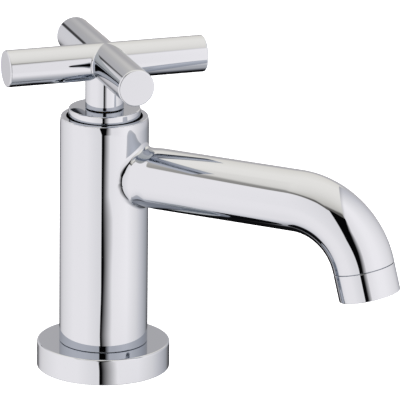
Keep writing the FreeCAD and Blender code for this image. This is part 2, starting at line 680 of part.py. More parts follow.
# --------------------------------------------------------------------------- tail and deck clamp
def inlet_tail():
    """Threaded tail: one thread for the deck clamp, a relief, and one for the water supply."""
    relief_low = tail_low + INLET_THREAD_LENGTH
    relief_top = relief_low + RELIEF_WIDTH
    relief = TAIL_THREAD_RADIUS - RELIEF_DEPTH
    return turned([
        (TAIL_BORE_RADIUS, tail_low), (TAIL_THREAD_RADIUS - TAIL_END_CHAMFER, tail_low),
        (TAIL_THREAD_RADIUS, tail_low + TAIL_END_CHAMFER), (TAIL_THREAD_RADIUS, relief_low),
        (relief, relief_low), (relief, relief_top), (TAIL_THREAD_RADIUS, relief_top),
        (TAIL_THREAD_RADIUS, tail_top), (TAIL_BORE_RADIUS, tail_top)])


def tail_o_ring():
    """Rubber ring between the tail's end and the pillar's socket."""
    section = TAIL_RING_SECTION - RING_RELIEF / 2
    return o_ring(TAIL_RING_RADIUS, section, (tail_top + socket_top) / 2)


def clamp_washer(low, high):
    """A flat washer that slides along the tail."""
    return ring(CLAMP_WASHER_RADIUS, TAIL_THREAD_RADIUS + THREAD_PLAY, low, high)


def clamp_rubber_washer():
    """Rubber washer pressed against the underside of the deck."""
    return clamp_washer(steel_top, clamp_top)


def clamp_steel_washer():
    """Steel washer between the rubber and the nut."""
    return clamp_washer(nut_top, steel_top)


def backnut():
    """Flanged hexagonal nut, with its hexagon's lower corners turned off."""
    flange_low = nut_top - NUT_FLANGE_HEIGHT
    corner = NUT_HEX / math.sqrt(3)
    blank = turned([
        (0, nut_low), (corner - NUT_CHAMFER, nut_low), (corner, nut_low + NUT_CHAMFER),
        (corner, flange_low), (0, flange_low)])
    body = hexagon(NUT_HEX, nut_low, flange_low).common(blank)
    body = body.fuse(rod(NUT_FLANGE_RADIUS, flange_low, nut_top - FACE_FILM))
    return body.cut(rod(TAIL_THREAD_RADIUS + THREAD_PLAY, nut_low, nut_top)).removeSplitter()


PIECES = (
    base_flange, deck_gasket, foot_o_ring, body_pillar, spout, outlet_collar, aerator_housing,
    aerator_seal, aerator_outlet_grid, aerator_jet_cup, aerator_filter, headwork_body,
    headwork_o_ring, seat_seal, fixed_ceramic_disc, moving_ceramic_disc, valve_spindle,
    spindle_thrust_washer, spindle_o_rings, spindle_circlip, bonnet_cover, cross_handle,
    spline_bush, handle_grub_screw, inlet_tail, tail_o_ring, clamp_rubber_washer,
    clamp_steel_washer, backnut)


def main():
    """Build every piece, check that it is sound and write it to its own file."""
    os.makedirs("parts", exist_ok=True)
    for piece in PIECES:
        shape = piece()
        name = piece.__name__
        sound = shape.isValid() and all(solid.isClosed() for solid in shape.Solids)
        print(f"{name}: {len(shape.Solids)} solid, {shape.Volume:.1f} mm3, sound {sound}")
        shape.exportStep(f"parts/{name}.step")


main()
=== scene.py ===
"""Looks for a deck-mounted cross handle tap: polished chrome surfaces, threads, materials and stage.

Everything is in metres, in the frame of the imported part: +Z up, the deck at z = 0, the spout along -Y.
"""
import json
import math

import bpy
import numpy as np
from mathutils import Matrix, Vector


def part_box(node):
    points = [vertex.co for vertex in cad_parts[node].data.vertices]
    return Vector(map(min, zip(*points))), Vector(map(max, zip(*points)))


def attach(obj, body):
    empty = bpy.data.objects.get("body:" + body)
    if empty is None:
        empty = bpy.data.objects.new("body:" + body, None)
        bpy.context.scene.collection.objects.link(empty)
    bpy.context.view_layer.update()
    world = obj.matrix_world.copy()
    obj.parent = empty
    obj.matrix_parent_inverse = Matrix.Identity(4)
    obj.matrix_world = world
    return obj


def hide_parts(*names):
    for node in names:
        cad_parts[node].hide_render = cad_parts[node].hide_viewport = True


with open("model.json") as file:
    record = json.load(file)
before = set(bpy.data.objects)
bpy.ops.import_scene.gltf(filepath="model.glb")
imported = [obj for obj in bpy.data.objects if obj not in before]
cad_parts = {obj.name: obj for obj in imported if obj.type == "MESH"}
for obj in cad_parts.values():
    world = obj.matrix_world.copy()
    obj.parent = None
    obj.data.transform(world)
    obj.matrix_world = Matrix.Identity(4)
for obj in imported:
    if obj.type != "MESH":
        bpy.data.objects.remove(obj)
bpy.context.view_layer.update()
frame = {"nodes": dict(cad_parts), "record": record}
BODY_OF = {member: body for body, members in frame["record"]["behaviour"]["bodies"].items()
           for member in members}
MOUNTS = {mount["name"]: mount for mount in frame["record"]["mounts"]}

bl_info = {
    "name": "Cross handle tap",
    "version": (1, 0, 0),
    "blender": (4, 5, 0),
    "location": "View3D > Sidebar > Tap",
    "description": "Dresses the packed cross handle tap with its surfaces, threads, finishes and stage",
    "category": "Object",
}

MM = 0.001                      # millimetres to metres
DECK = 0.0                      # height of the deck's surface
TURN = 2 * math.pi
FIT = 0.6 * MM                  # most that a piece's box may differ from its node's
GUARD = 0.06 * MM               # from a rounding to the points that hold the faces beside it
JOIN = 1e-4 * MM                # points closer than this become one vertex
TINY = 1e-9                     # radius that stands for a point on an axis
HALVINGS = 44                   # halvings that bring an angle to its last digit
COLUMNS = 256                   # columns round the spout, the collar and the cover
WIDE_COLUMNS = 288              # columns round the pillar and the flange
FEW_COLUMNS = 96                # columns round the tail and the stage


# ------------------------------------------------------------------------------ sizes from the frame
def node_box(name):
    """Lowest and highest corner of a CAD node, as two arrays in metres."""
    low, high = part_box(name)
    return np.array(low), np.array(high)


def outer_radius(name):
    """Radius of a round CAD node that stands on the tap's axis."""
    low, high = node_box(name)
    return float(high[0] - low[0]) / 2


PILLAR_RADIUS = outer_radius("body_pillar")
PILLAR_RIM = float(node_box("body_pillar")[1][2])
FLANGE_RADIUS = outer_radius("base_flange")
FLANGE_TOP = float(node_box("base_flange")[1][2])
COVER_RADIUS = outer_radius("bonnet_cover")
COVER_LOW = float(node_box("bonnet_cover")[0][2])
COVER_TOP = float(node_box("bonnet_cover")[1][2])
SPOUT_RADIUS = MOUNTS["outlet_collar_outside"]["dims"]["r_mm"] * MM
OUTLET_WAY = np.array(MOUNTS["outlet_collar_outside"]["axis"], float)
BEND_ANGLE = math.atan2(-OUTLET_WAY[2], -OUTLET_WAY[1])
COLLAR_LENGTH = 11.6 * MM
TUBE_STUB = 0.7 * MM            # straight end of the tube behind the collar
SPOUT_AXIS = 82.85 * MM         # height of the spout's middle line at the pillar
THREAD_SOCKET = 10.5275 * MM    # bore for a half-inch pipe thread with its play
HANDLE_LOW = float(node_box("cross_handle")[0][2])
HANDLE_TOP = float(node_box("cross_handle")[1][2])


# ------------------------------------------------------------------------------------ user settings
def linear(code):
    """An sRGB hex colour as three linear values."""
    values = [int(code[i:i + 2], 16) / 255 for i in (1, 3, 5)]
    return tuple(v / 12.92 if v <= 0.04045 else ((v + 0.055) / 1.055) ** 2.4 for v in values)


def colour(name, description, code):
    """A colour setting with its default as an sRGB hex code."""
    return bpy.props.FloatVectorProperty(
        name=name, description=description, default=linear(code), size=3, min=0, max=1,
        subtype="COLOR")


def length(name, description, millimetres):
    """A length setting in metres, with its default in millimetres."""
    return bpy.props.FloatProperty(
        name=name, description=description, default=millimetres * MM, min=0, subtype="DISTANCE",
        unit="LENGTH", precision=6)


def ratio(name, description, value):
    """A setting without a unit, from 0 to 1."""
    return bpy.props.FloatProperty(name=name, description=description, default=value, min=0, max=1)


class TapSizes(bpy.types.PropertyGroup):
    """Sizes of the dressed surfaces that the frame's boxes don't give."""
    crown_height: length("Crown height", "Length of the pillar's side that leans in at its top", 4.2)
    crown_lean: length("Crown lean", "How far the pillar's side comes in at the rim", 0.4)
    pillar_rim_round: length("Pillar rim round", "Rounding of the pillar's top edge", 0.4)
    rim_bore: length("Rim bore", "Radius of the open top of the pillar", 15.5)
    flange_round: length("Flange round", "Rounding of the flange's top edge", 0.8)
    cover_round: length("Cover round", "Rounding of the cover disc's top edge", 0.5)
    bend_ease: ratio("Bend ease", "Share of the bend over which its curvature comes in", 0.06)
    spout_wall: length("Spout wall", "Wall of the spout's tube", 1.8)
    root_fillet: length("Root fillet", "Fillet over and under the spout's root", 2.1)
    root_side_fillet: length("Root side fillet", "Fillet beside the spout's root", 7.5)
    root_waist: length("Root waist", "How far the root is buffed in over and under the spout", 0.3)
    root_side_waist: length("Root side waist", "How far the root is buffed in beside the spout", 1.1)
    root_blend: length("Root blend", "Length over which the buffed root swells to the tube", 6.5)
    arm_radius: length("Arm radius", "Radius of the handle's arms", 7.5)
    neck_radius: length("Neck radius", "Radius of the handle's neck", 7.85)
    arm_end_round: length("Arm end round", "Rounding of each arm's end edge", 0.7)
    arm_crease: length("Arm crease", "Fillet between neighbouring arms", 1.0)
    thread_pitch: length("Thread pitch", "Pitch of the half-inch pipe thread", 1.814)
    thread_depth: length("Thread depth", "Depth of the half-inch pipe thread", 1.162)


class TapColours(bpy.types.PropertyGroup):
    """Colours of the finishes."""
    chrome: colour("Chrome", "Polished chrome plate", "#BDC3CC")
    brass: colour("Brass", "Bare machined brass", "#D8B878")
    steel: colour("Steel", "Zinc-plated and stainless steel", "#C2C4C6")
    rubber: colour("Rubber", "Black moulded rubber", "#1C1C1E")
    ceramic: colour("Ceramic", "Lapped alumina", "#ECE8DE")
    white_plastic: colour("White plastic", "Moulded acetal", "#E6E5E0")
    grey_plastic: colour("Grey plastic", "Moulded acetal, grey", "#8B8F94")
    floor: colour("Floor", "Pale deck that the tap stands on", "#FAFAFA")


# ----------------------------------------------------------------------------------- surface makers
def swung(first, last, spread, share):
    """Part of the way round an arc from first to last, two arms that stand a spread apart.

    Each arm counts by the sine of its share of the spread, over the sine of the spread.
    """
    return (np.sin((1 - share) * spread) * first + np.sin(share * spread) * last) / np.sin(spread)


def outline(corners, steps=10):
    """A closed outline from (radius, height, rounding) corners.

    A rounded corner becomes an arc tangent to both sides. A guard point stands just outside each
    arc's ends, so that the long faces beside it keep their own normals.
    """
    points = []
    count = len(corners)
    for index in range(count):
        here = np.array(corners[index][:2], float)
        rounding = corners[index][2]
        if rounding == 0:
            points.append(here)
            continue
        before = np.array(corners[index - 1][:2], float) - here
        after = np.array(corners[(index + 1) % count][:2], float) - here
        before /= np.linalg.norm(before)
        after /= np.linalg.norm(after)
        half = math.acos(np.clip(before @ after, -1, 1)) / 2
        setback = rounding / math.tan(half)
        middle = before + after
        centre = here + middle / np.linalg.norm(middle) * rounding / math.sin(half)
        start = here + before * setback - centre
        end = here + after * setback - centre
        spread = math.pi - 2 * half
        share = np.linspace(0, 1, steps + 1)[:, None]
        points.append(here + before * (setback + GUARD))
        points.extend(centre + swung(start, end, spread, share))
        points.append(here + after * (setback + GUARD))
    return np.array(points)


def revolve(profile, columns):
    """A surface of revolution: the profile's radius goes round Z while its height stays."""
    turn = np.linspace(0, TURN, columns, endpoint=False)
    radius = profile[:, 0][:, None]
    height = np.broadcast_to(profile[:, 1][:, None], (len(profile), columns))
    return np.stack([radius * np.cos(turn), radius * np.sin(turn), height], -1)


def grid_faces(rows, columns, wrap_rows, wrap_columns):
    """Quads between neighbouring grid points, closed round in the ways that wrap."""
    row = np.arange(rows if wrap_rows else rows - 1)
    column = np.arange(columns if wrap_columns else columns - 1)
    row, column = np.meshgrid(row, column, indexing="ij")
    next_row = (row + 1) % rows
    next_column = (column + 1) % columns
    corners = [row * columns + column, row * columns + next_column,
               next_row * columns + next_column, next_row * columns + column]
    return np.stack([corner.ravel() for corner in corners], -1)


def weld(points, quads):
    """One vertex for each place: points whose rounded coordinates agree are merged."""
    keys = np.round(points / JOIN).astype(np.int64)
    _, first, inverse = np.unique(keys, axis=0, return_index=True, return_inverse=True)
    return points[first], inverse.reshape(-1)[quads]


def all_differ(faces):
    """Which faces name no corner twice."""
    ordered = np.sort(faces, axis=1)
    return (ordered[:, 1:] != ordered[:, :-1]).all(axis=1)


def build_mesh(name, patches, sharp=35.0):
    """A closed mesh from grid patches, welded, turned to face outwards, smooth but for sharp edges.

    Each patch is (points, wrap_rows, wrap_columns). A quad with a repeated corner becomes a
    triangle, and one with no area is left out. The signed volume tells which way the faces point.
    """
    every_point = []
    every_quad = []
    offset = 0
    for points, wrap_rows, wrap_columns in patches:
        rows, columns = points.shape[:2]
        every_point.append(points.reshape(-1, 3))
        every_quad.append(grid_faces(rows, columns, wrap_rows, wrap_columns) + offset)
        offset += rows * columns
    points, quads = weld(np.concatenate(every_point), np.concatenate(every_quad))
    halves = np.concatenate([quads[:, [0, 1, 2]], quads[:, [0, 2, 3]]])
    whole = all_differ(quads)
    triangles = halves[np.tile(~whole, 2)]
    triangles = triangles[all_differ(triangles)]
    quads = quads[whole]
    a, b, c = points[halves[:, 0]], points[halves[:, 1]], points[halves[:, 2]]
    if np.einsum("ij,ij->i", a, np.cross(b, c)).sum() < 0:
        quads = quads[:, ::-1]
        triangles = triangles[:, ::-1]
    loops = np.concatenate([quads.ravel(), triangles.ravel()])
    totals = np.concatenate([np.full(len(quads), 4), np.full(len(triangles), 3)])
    mesh = bpy.data.meshes.new(name)
    mesh.vertices.add(len(points))
    mesh.vertices.foreach_set("co", points.astype(np.float32).ravel())
    mesh.loops.add(len(loops))
    mesh.loops.foreach_set("vertex_index", loops.astype(np.int32))
    mesh.polygons.add(len(totals))
    mesh.polygons.foreach_set("loop_start", np.cumsum(totals) - totals)
    mesh.polygons.foreach_set("loop_total", totals)
    mesh.update(calc_edges=True)
    mesh.polygons.foreach_set("use_smooth", np.ones(len(totals), bool))
    mesh.set_sharp_from_angle(angle=math.radians(sharp))
    mesh.validate()
    return mesh


def show(name, mesh, material):
    """Put a mesh into the scene as an object with one material."""
    piece = bpy.data.objects.new(name, mesh)
    bpy.context.scene.collection.objects.link(piece)
    piece.data.materials.append(material)
    return piece


def add_piece(name, patches, node, slot, sharp=35.0):
    """Make a piece that fits a CAD node's box, stands for the node and has its slot's finish."""
    low, high = node_box(node)
    points = np.concatenate([points.reshape(-1, 3) for points, _, _ in patches])
    miss = max(abs(points.min(0) - low).max(), abs(points.max(0) - high).max())
    if miss > FIT:
        raise RuntimeError(f"{name} is {miss / MM:.2f} mm off the box of {node}")
    piece = show(name, build_mesh(name, patches, sharp), finish_named(slot))
    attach(piece, BODY_OF[node])
    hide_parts(node)


def placed(points, origin, rotation):
    """Points turned by a 3 by 3 matrix and moved to an origin."""
    return points @ rotation.T + origin


def tilt_about_x(angle):
    """Rotation matrix about the X axis."""
    c, s = math.cos(angle), math.sin(angle)
    return np.array([[1, 0, 0], [0, c, -s], [0, s, c]])


def turn_about_z(angle):
    """Rotation matrix about the Z axis."""
    c, s = math.cos(angle), math.sin(angle)
    return np.array([[c, -s, 0], [s, c, 0], [0, 0, 1]])


# ---------------------------------------------------------------------------------------- materials
def add(tree, kind, settings=None, numbered=None, **named):
    """Add a shader node with its settings, and link its inputs or give them values.

    An input is named, with underscores for spaces, or numbered. It takes another node's first
    output, a socket, a value or an sRGB hex code.
    """
    node = tree.nodes.new("ShaderNode" + kind)
    for key, value in (settings or {}).items():
        setattr(node, key, value)
    inputs = {key.replace("_", " "): source for key, source in named.items()}
    for key, source in {**inputs, **(numbered or {})}.items():
        if isinstance(source, bpy.types.Node):
            source = source.outputs[0]
        if isinstance(source, bpy.types.NodeSocket):
            tree.links.new(source, node.inputs[key])
        elif isinstance(source, str):
            node.inputs[key].default_value = rgba(linear(source))
        else:
            node.inputs[key].default_value = source
    return node


def new_material(name):
    """An empty node material, its tree and its object coordinates in metres."""
    material = bpy.data.materials.new(name)
    material.use_nodes = True
    tree = material.node_tree
    tree.nodes.clear()
    return material, tree, add(tree, "TexCoord").outputs["Object"]


def rgba(values):
    """Three linear values with full alpha."""
    return (*values, 1.0)


def shade(values, amount):
    """A colour made lighter or darker by an amount, with full alpha."""
    return rgba(min(1.0, max(0.0, v * amount)) for v in values)


def polished_chrome(name, base):
    """Bright chromium on buffed brass: a mirror with a very slight waviness from the buffing wheel.

    The buff leaves broad, shallow waves about 9 mm long and a haze in patches of 3 mm, which show
    only as a faint softening of the sharpest reflections.
    """
    material, tree, place = new_material(name)
    wave = add(tree, "TexNoise", Vector=place, Scale=1 / (9 * MM), Detail=1.0, Roughness=0.4)
    bump = add(tree, "Bump", Height=wave, Strength=0.12, Distance=0.004 * MM)
    haze = add(tree, "TexNoise", Vector=place, Scale=1 / (3 * MM), Detail=3.0)
    rough = add(tree, "MapRange", Value=haze, From_Min=0.3, From_Max=0.7, To_Min=0.016,
                To_Max=0.03)
    # Chromium reflects hardly more at a steep view than straight on.
    shader = add(tree, "BsdfPrincipled", Base_Color=rgba(base), Specular_Tint=rgba((0.8, 0.8, 0.8)),
                 Roughness=rough, Normal=bump, Metallic=1.0)
    add(tree, "OutputMaterial", Surface=shader)
    return material


def machined_brass(name, base):
    """Turned brass, unplated: fine tool rings about 0.4 mm apart and a little uneven tarnish."""
    material, tree, place = new_material(name)
    cloud = add(tree, "TexNoise", Vector=place, Scale=1 / (6 * MM), Detail=4.0)
    tint = add(tree, "Mix", {"data_type": "RGBA"}, {0: cloud, 6: shade(base, 0.82), 7: shade(base, 1.08)})
    stretched = add(tree, "Mapping", Vector=place, Scale=(0.05, 0.05, 1.0))
    ring = add(tree, "TexNoise", Vector=stretched, Scale=1 / (0.4 * MM), Detail=3.0,
               Roughness=0.7)
    bump = add(tree, "Bump", Height=ring, Strength=0.35, Distance=0.02 * MM)
    rough = add(tree, "MapRange", Value=ring, To_Min=0.2, To_Max=0.42)
    shader = add(tree, "BsdfPrincipled", Base_Color=tint.outputs[2], Roughness=rough, Normal=bump,
                 Metallic=1.0)
    add(tree, "OutputMaterial", Surface=shader)
    return material


def zinc_steel(name, base):
    """Pressed steel with a bright zinc coat: a soft satin with a faint crystalline mottle."""
    material, tree, place = new_material(name)
    grain = add(tree, "TexVoronoi", Vector=place, Scale=1 / (1.1 * MM))
    tint = add(tree, "Mix", {"data_type": "RGBA"}, {0: grain, 6: shade(base, 1.05), 7: shade(base, 0.84)})
    fine = add(tree, "TexNoise", Vector=place, Scale=1 / (0.35 * MM), Detail=4.0)
    rough = add(tree, "MapRange", Value=fine, To_Min=0.28, To_Max=0.46)
    bump = add(tree, "Bump", Height=fine, Strength=0.25, Distance=0.01 * MM)
    shader = add(tree, "BsdfPrincipled", Base_Color=tint.outputs[2], Roughness=rough, Normal=bump,
                 Metallic=1.0)
    add(tree, "OutputMaterial", Surface=shader)
    return material


def moulded_rubber(name, base):
    """Black nitrile rubber from a blasted mould: matt, with a fine skin and a greyish bloom."""
    material, tree, place = new_material(name)
    bloom = add(tree, "TexNoise", Vector=place, Scale=1 / (8 * MM), Detail=5.0)
    tint = add(tree, "Mix", {"data_type": "RGBA"}, {0: bloom, 6: rgba(base), 7: shade(base, 2.2)})
    skin = add(tree, "TexNoise", Vector=place, Scale=1 / (0.25 * MM), Detail=3.0)
    bump = add(tree, "Bump", Height=skin, Strength=0.5, Distance=0.02 * MM)
    rough = add(tree, "MapRange", Value=bloom, To_Min=0.6, To_Max=0.82)
    shader = add(tree, "BsdfPrincipled", Base_Color=tint.outputs[2], Roughness=rough, Normal=bump)
    add(tree, "OutputMaterial", Surface=shader)
    return material


def lapped_ceramic(name, base):
    """Lapped alumina: dense, cool to the eye and nearly glossy, with a faint warm mottle."""
    material, tree, place = new_material(name)
    mottle = add(tree, "TexNoise", Vector=place, Scale=1 / (0.5 * MM), Detail=4.0)
    tint = add(tree, "Mix", {"data_type": "RGBA"}, {0: mottle, 6: rgba(base), 7: shade(base, 0.93)})
    rough = add(tree, "MapRange", Value=mottle, To_Min=0.18, To_Max=0.3)
    bump = add(tree, "Bump", Height=mottle, Strength=0.15, Distance=0.005 * MM)
    shader = add(tree, "BsdfPrincipled", Base_Color=tint.outputs[2], Roughness=rough, Normal=bump, IOR=1.76)
    add(tree, "OutputMaterial", Surface=shader)
    return material


def moulded_acetal(name, base):
    """Injection moulded acetal: waxy and half matt, from a spark-eroded mould of 0.1 mm grain."""
    material, tree, place = new_material(name)
    flow = add(tree, "TexNoise", Vector=place, Scale=1 / (5 * MM), Detail=2.0)
    tint = add(tree, "Mix", {"data_type": "RGBA"}, {0: flow, 6: rgba(base), 7: shade(base, 0.92)})
    grain = add(tree, "TexNoise", Vector=place, Scale=1 / (0.12 * MM), Detail=2.0)
    bump = add(tree, "Bump", Height=grain, Strength=0.3, Distance=0.012 * MM)
    rough = add(tree, "MapRange", Value=grain, To_Min=0.38, To_Max=0.55)
    shader = add(tree, "BsdfPrincipled", Base_Color=tint.outputs[2], Roughness=rough, Normal=bump, IOR=1.48)
    add(tree, "OutputMaterial", Surface=shader)
    return material


# For each material slot of the record: its material's name, its maker and its colour setting.
FINISHES = {
    "chrome": ("polished_chrome_plate", polished_chrome, "chrome"),
    "bare_brass": ("turned_bare_brass", machined_brass, "brass"),
    "plain_steel": ("zinc_plated_steel", zinc_steel, "steel"),
    "black_rubber": ("moulded_black_rubber", moulded_rubber, "rubber"),
    "white_ceramic": ("lapped_alumina_ceramic", lapped_ceramic, "ceramic"),
    "white_plastic": ("moulded_white_acetal", moulded_acetal, "white_plastic"),
    "grey_plastic": ("moulded_grey_acetal", moulded_acetal, "grey_plastic"),
}


def finish_named(slot):
    """The material for a slot of the record, made once."""
    name, maker, setting = FINISHES[slot]
    colours = bpy.context.scene.tap_colours
    return bpy.data.materials.get(name) or maker(name, getattr(colours, setting))


# ----------------------------------------------------------------------------------------- operators
class TAP_OT_base_flange(bpy.types.Operator):
    """Round base flange with a rounded top edge, turned from one profile"""
    bl_idname = "tap.base_flange"
    bl_label = "Base flange"

    def execute(self, context):
        inner = 13.6 * MM
        gasket_inner = inner + 1.2 * MM
        gasket_outer = FLANGE_RADIUS - 2.6 * MM
        recess = 2.5 * MM                   # depth of the gasket's recess
        profile = outline([
            (inner, 0, 0), (gasket_inner, 0, 0), (gasket_inner, recess, 0),
            (gasket_outer, recess, 0), (gasket_outer, 0, 0), (FLANGE_RADIUS, 0, 0.3 * MM),
            (FLANGE_RADIUS, FLANGE_TOP, context.scene.tap_sizes.flange_round),
            (inner, FLANGE_TOP, 0)])
        ring = revolve(profile, WIDE_COLUMNS)
        add_piece("flange_ring", [(ring, True, True)], "base_flange", "chrome")
        return {"FINISHED"}


class TAP_OT_pillar(bpy.types.Operator):
    """Pillar with its rounded rim, open top, valve chamber and inlet way, turned from one profile"""
    bl_idname = "tap.pillar"
    bl_label = "Pillar"

    def execute(self, context):
        sizes = context.scene.tap_sizes
        low = float(node_box("body_pillar")[0][2])
        shoulder = PILLAR_RIM - 7.5 * MM            # floor of the open top
        seat = shoulder - 34.5 * MM                 # where the valve's discs stand
        socket_top = low + 21.0 * MM                # end of the tail's socket
        foot = FLANGE_TOP + 0.10 * MM               # joint gap over the flange
        plug, step, ring_edge = 13.5 * MM, 14.0 * MM, 14.2 * MM     # in the flange and on it
        flange_seat, thread_top = 12.3 * MM, shoulder - 1.8 * MM    # where the headwork goes in
        chamber, thread_end = 13.2 * MM, shoulder - 6.5 * MM
        port, port_end = 6.0 * MM, seat - 4.0 * MM
        way = 8.0 * MM                              # the inlet's way up from the tail
        lean, crown = sizes.crown_lean, sizes.crown_height
        crown_radius = (crown ** 2 + lean ** 2) / (2 * lean)
        swing = np.linspace(0, math.asin(crown / crown_radius), 14)[1:-1]
        crown_side = [(PILLAR_RADIUS - crown_radius * (1 - math.cos(a)),
                       PILLAR_RIM - crown + crown_radius * math.sin(a), 0) for a in swing]
        profile = outline([
            (THREAD_SOCKET, low, 0), (plug, low, 0), (plug, FLANGE_TOP, 0), (step, FLANGE_TOP, 0),
            (ring_edge, foot, 0), (PILLAR_RADIUS, foot, 0.25 * MM),
            (PILLAR_RADIUS, PILLAR_RIM - crown - GUARD, 0), (PILLAR_RADIUS, PILLAR_RIM - crown, 0),
            *crown_side, (PILLAR_RADIUS - lean, PILLAR_RIM, sizes.pillar_rim_round),
            (sizes.rim_bore, PILLAR_RIM, 0.15 * MM), (sizes.rim_bore, shoulder, 0),
            (flange_seat, shoulder, 0), (flange_seat, thread_top, 0), (THREAD_SOCKET, thread_top, 0),
            (THREAD_SOCKET, thread_end, 0), (chamber, thread_end, 0), (chamber, seat, 0),
            (port, seat, 0), (port, port_end, 0), (way, port_end, 0), (way, socket_top, 0),
            (THREAD_SOCKET, socket_top, 0)], steps=12)
        pillar = revolve(profile, WIDE_COLUMNS)
        add_piece("pillar_casting", [(pillar, True, True)], "body_pillar", "chrome")
        return {"FINISHED"}


def spout_seam():
    """Middle of the seam between the tube and the collar."""
    way = MOUNTS["outlet_collar_outside"]
    return np.array(way["pos_m"], float) - OUTLET_WAY * COLLAR_LENGTH / 2


def bend_path(steps):
    """Middle line of the spout's bend: distances out, heights and downward angles.

    The angle is the running sum of a curvature that eases in at the start of the bend and then
    stays. The drop from the spout's axis to the seam sets the bend's length.
    """
    ease = bpy.context.scene.tap_sizes.bend_ease
    along = np.linspace(0, 1, steps)
    come = np.clip(along / ease, 0, 1)
    curvature = (3 - 2 * come) * come ** 2
    middle = (curvature[1:] + curvature[:-1]) / 2
    angle = np.concatenate([[0], np.cumsum(middle)])
    angle *= BEND_ANGLE / angle[-1]
    mid_angle = (angle[1:] + angle[:-1]) / 2
    out = np.concatenate([[0], np.cumsum(np.cos(mid_angle))])
    down = np.concatenate([[0], np.cumsum(np.sin(mid_angle))])
    end = spout_seam() - OUTLET_WAY * TUBE_STUB
    scale = (SPOUT_AXIS - end[2]) / down[-1]
    return -end[1] + (out - out[-1]) * scale, SPOUT_AXIS - down * scale, angle


def tube_rows(turn, radius, path):
    """Circles of the tube along its bend: each stands square to the middle line in the YZ plane."""
    out, height, angle = (values[:, None] for values in path)
    x = np.broadcast_to(radius * np.cos(turn), (len(path[0]), len(turn)))
    y = -out - radius * np.sin(turn) * np.sin(angle)
    z = height + radius * np.sin(turn) * np.cos(angle)
    return np.stack([x, y, z], -1)


class TAP_OT_spout(bpy.types.Operator):
    """Bent spout tube that flows into the pillar through a rolled fillet"""
    bl_idname = "tap.spout"
    bl_label = "Spout"

    def execute(self, context):
        sizes = context.scene.tap_sizes
        height, end = SPOUT_AXIS, spout_seam()
        path = bend_path(121)
        straight = float(path[0][0])
        radius = SPOUT_RADIUS
        turn = np.linspace(0, TURN, COLUMNS, endpoint=False)

        def against(size, wall):
            """A ring of the tube where it meets a round wall about the pillar's axis."""
            x = size * np.cos(turn)
            return np.stack([x, -np.sqrt(wall ** 2 - x ** 2), height + size * np.sin(turn)], -1)

        # Buffing has drawn the root in, more at its sides than over and under it, and its fillet is
        # wider there too. The ball that rolls in the corner touches both round walls: its centre is
        # one fillet radius off each, and the fillet is the ball's arc between the two touches.
        beside = np.cos(turn) ** 6
        waist = sizes.root_waist + (sizes.root_side_waist - sizes.root_waist) * beside
        fillet = sizes.root_fillet + (sizes.root_side_fillet - sizes.root_fillet) * beside
        root = radius - waist
        ball_x = (root + fillet) * np.cos(turn)
        ball_z = height + (root + fillet) * np.sin(turn)
        ball_y = -np.sqrt((PILLAR_RADIUS + fillet) ** 2 - ball_x ** 2)
        ball = np.stack([ball_x, ball_y, ball_z], -1)
        on_pillar = ball.copy()
        on_pillar[:, :2] *= (PILLAR_RADIUS / (PILLAR_RADIUS + fillet))[:, None]
        on_tube = np.stack([root * np.cos(turn), ball_y, height + root * np.sin(turn)], -1)
        first = (on_pillar - ball) / fillet[:, None]
        last = (on_tube - ball) / fillet[:, None]
        spread = np.arccos(np.clip((first * last).sum(-1), -1, 1))[:, None]
        rows = []
        shares = np.linspace(0, 1, 19)
        for share in shares:
            rows.append(ball + fillet[:, None] * swung(first, last, spread, share))
        for share in shares[1:]:
            swell = root + waist * (1 - math.cos(math.pi * share)) / 2
            rows.append(np.stack([swell * np.cos(turn), ball_y - share * sizes.root_blend,
                                  height + swell * np.sin(turn)], -1))
        on_tube = rows[-1]
        bend_start = on_tube.copy()
        bend_start[:, 1] = -straight
        for share in (0.02, 0.2, 0.4, 0.6, 0.8, 0.98):
            rows.append(on_tube * (1 - share) + bend_start * share)
        rows.extend(tube_rows(turn, radius, path))
        stub = end - rows[-1].mean(0)
        rows.append(rows[-1] + stub * 0.6)
        seam = rows[-2] + stub
        middle = seam.mean(0)
        chamfer = 0.2 * MM
        rows.append(seam - OUTLET_WAY * chamfer)
        rows.append(middle + (seam - middle) * (1 - chamfer / radius))
        # A thinner spigot goes into the collar, and another through the pillar's wall.
        bore = radius - sizes.spout_wall
        spigot = radius - 0.9 * MM
        rows.append(middle + (seam - middle) * (spigot / radius))
        reach = 2.1 * MM
        rows.append(rows[-1] + OUTLET_WAY * reach)
        rows.append(middle + (seam - middle) * (bore / radius) + OUTLET_WAY * reach)
        rows.extend(tube_rows(turn, bore, path)[::-3])
        inside = PILLAR_RADIUS - 3.6 * MM
        depth = PILLAR_RADIUS - 0.5 * MM
        rows += [against(bore, inside), against(spigot, inside), against(spigot, depth)]
        sunk = on_pillar.copy()
        sunk[:, :2] *= depth / PILLAR_RADIUS
        rows.append(sunk)
        add_piece("spout_tube", [(np.array(rows), True, True)], "spout", "chrome")
        return {"FINISHED"}


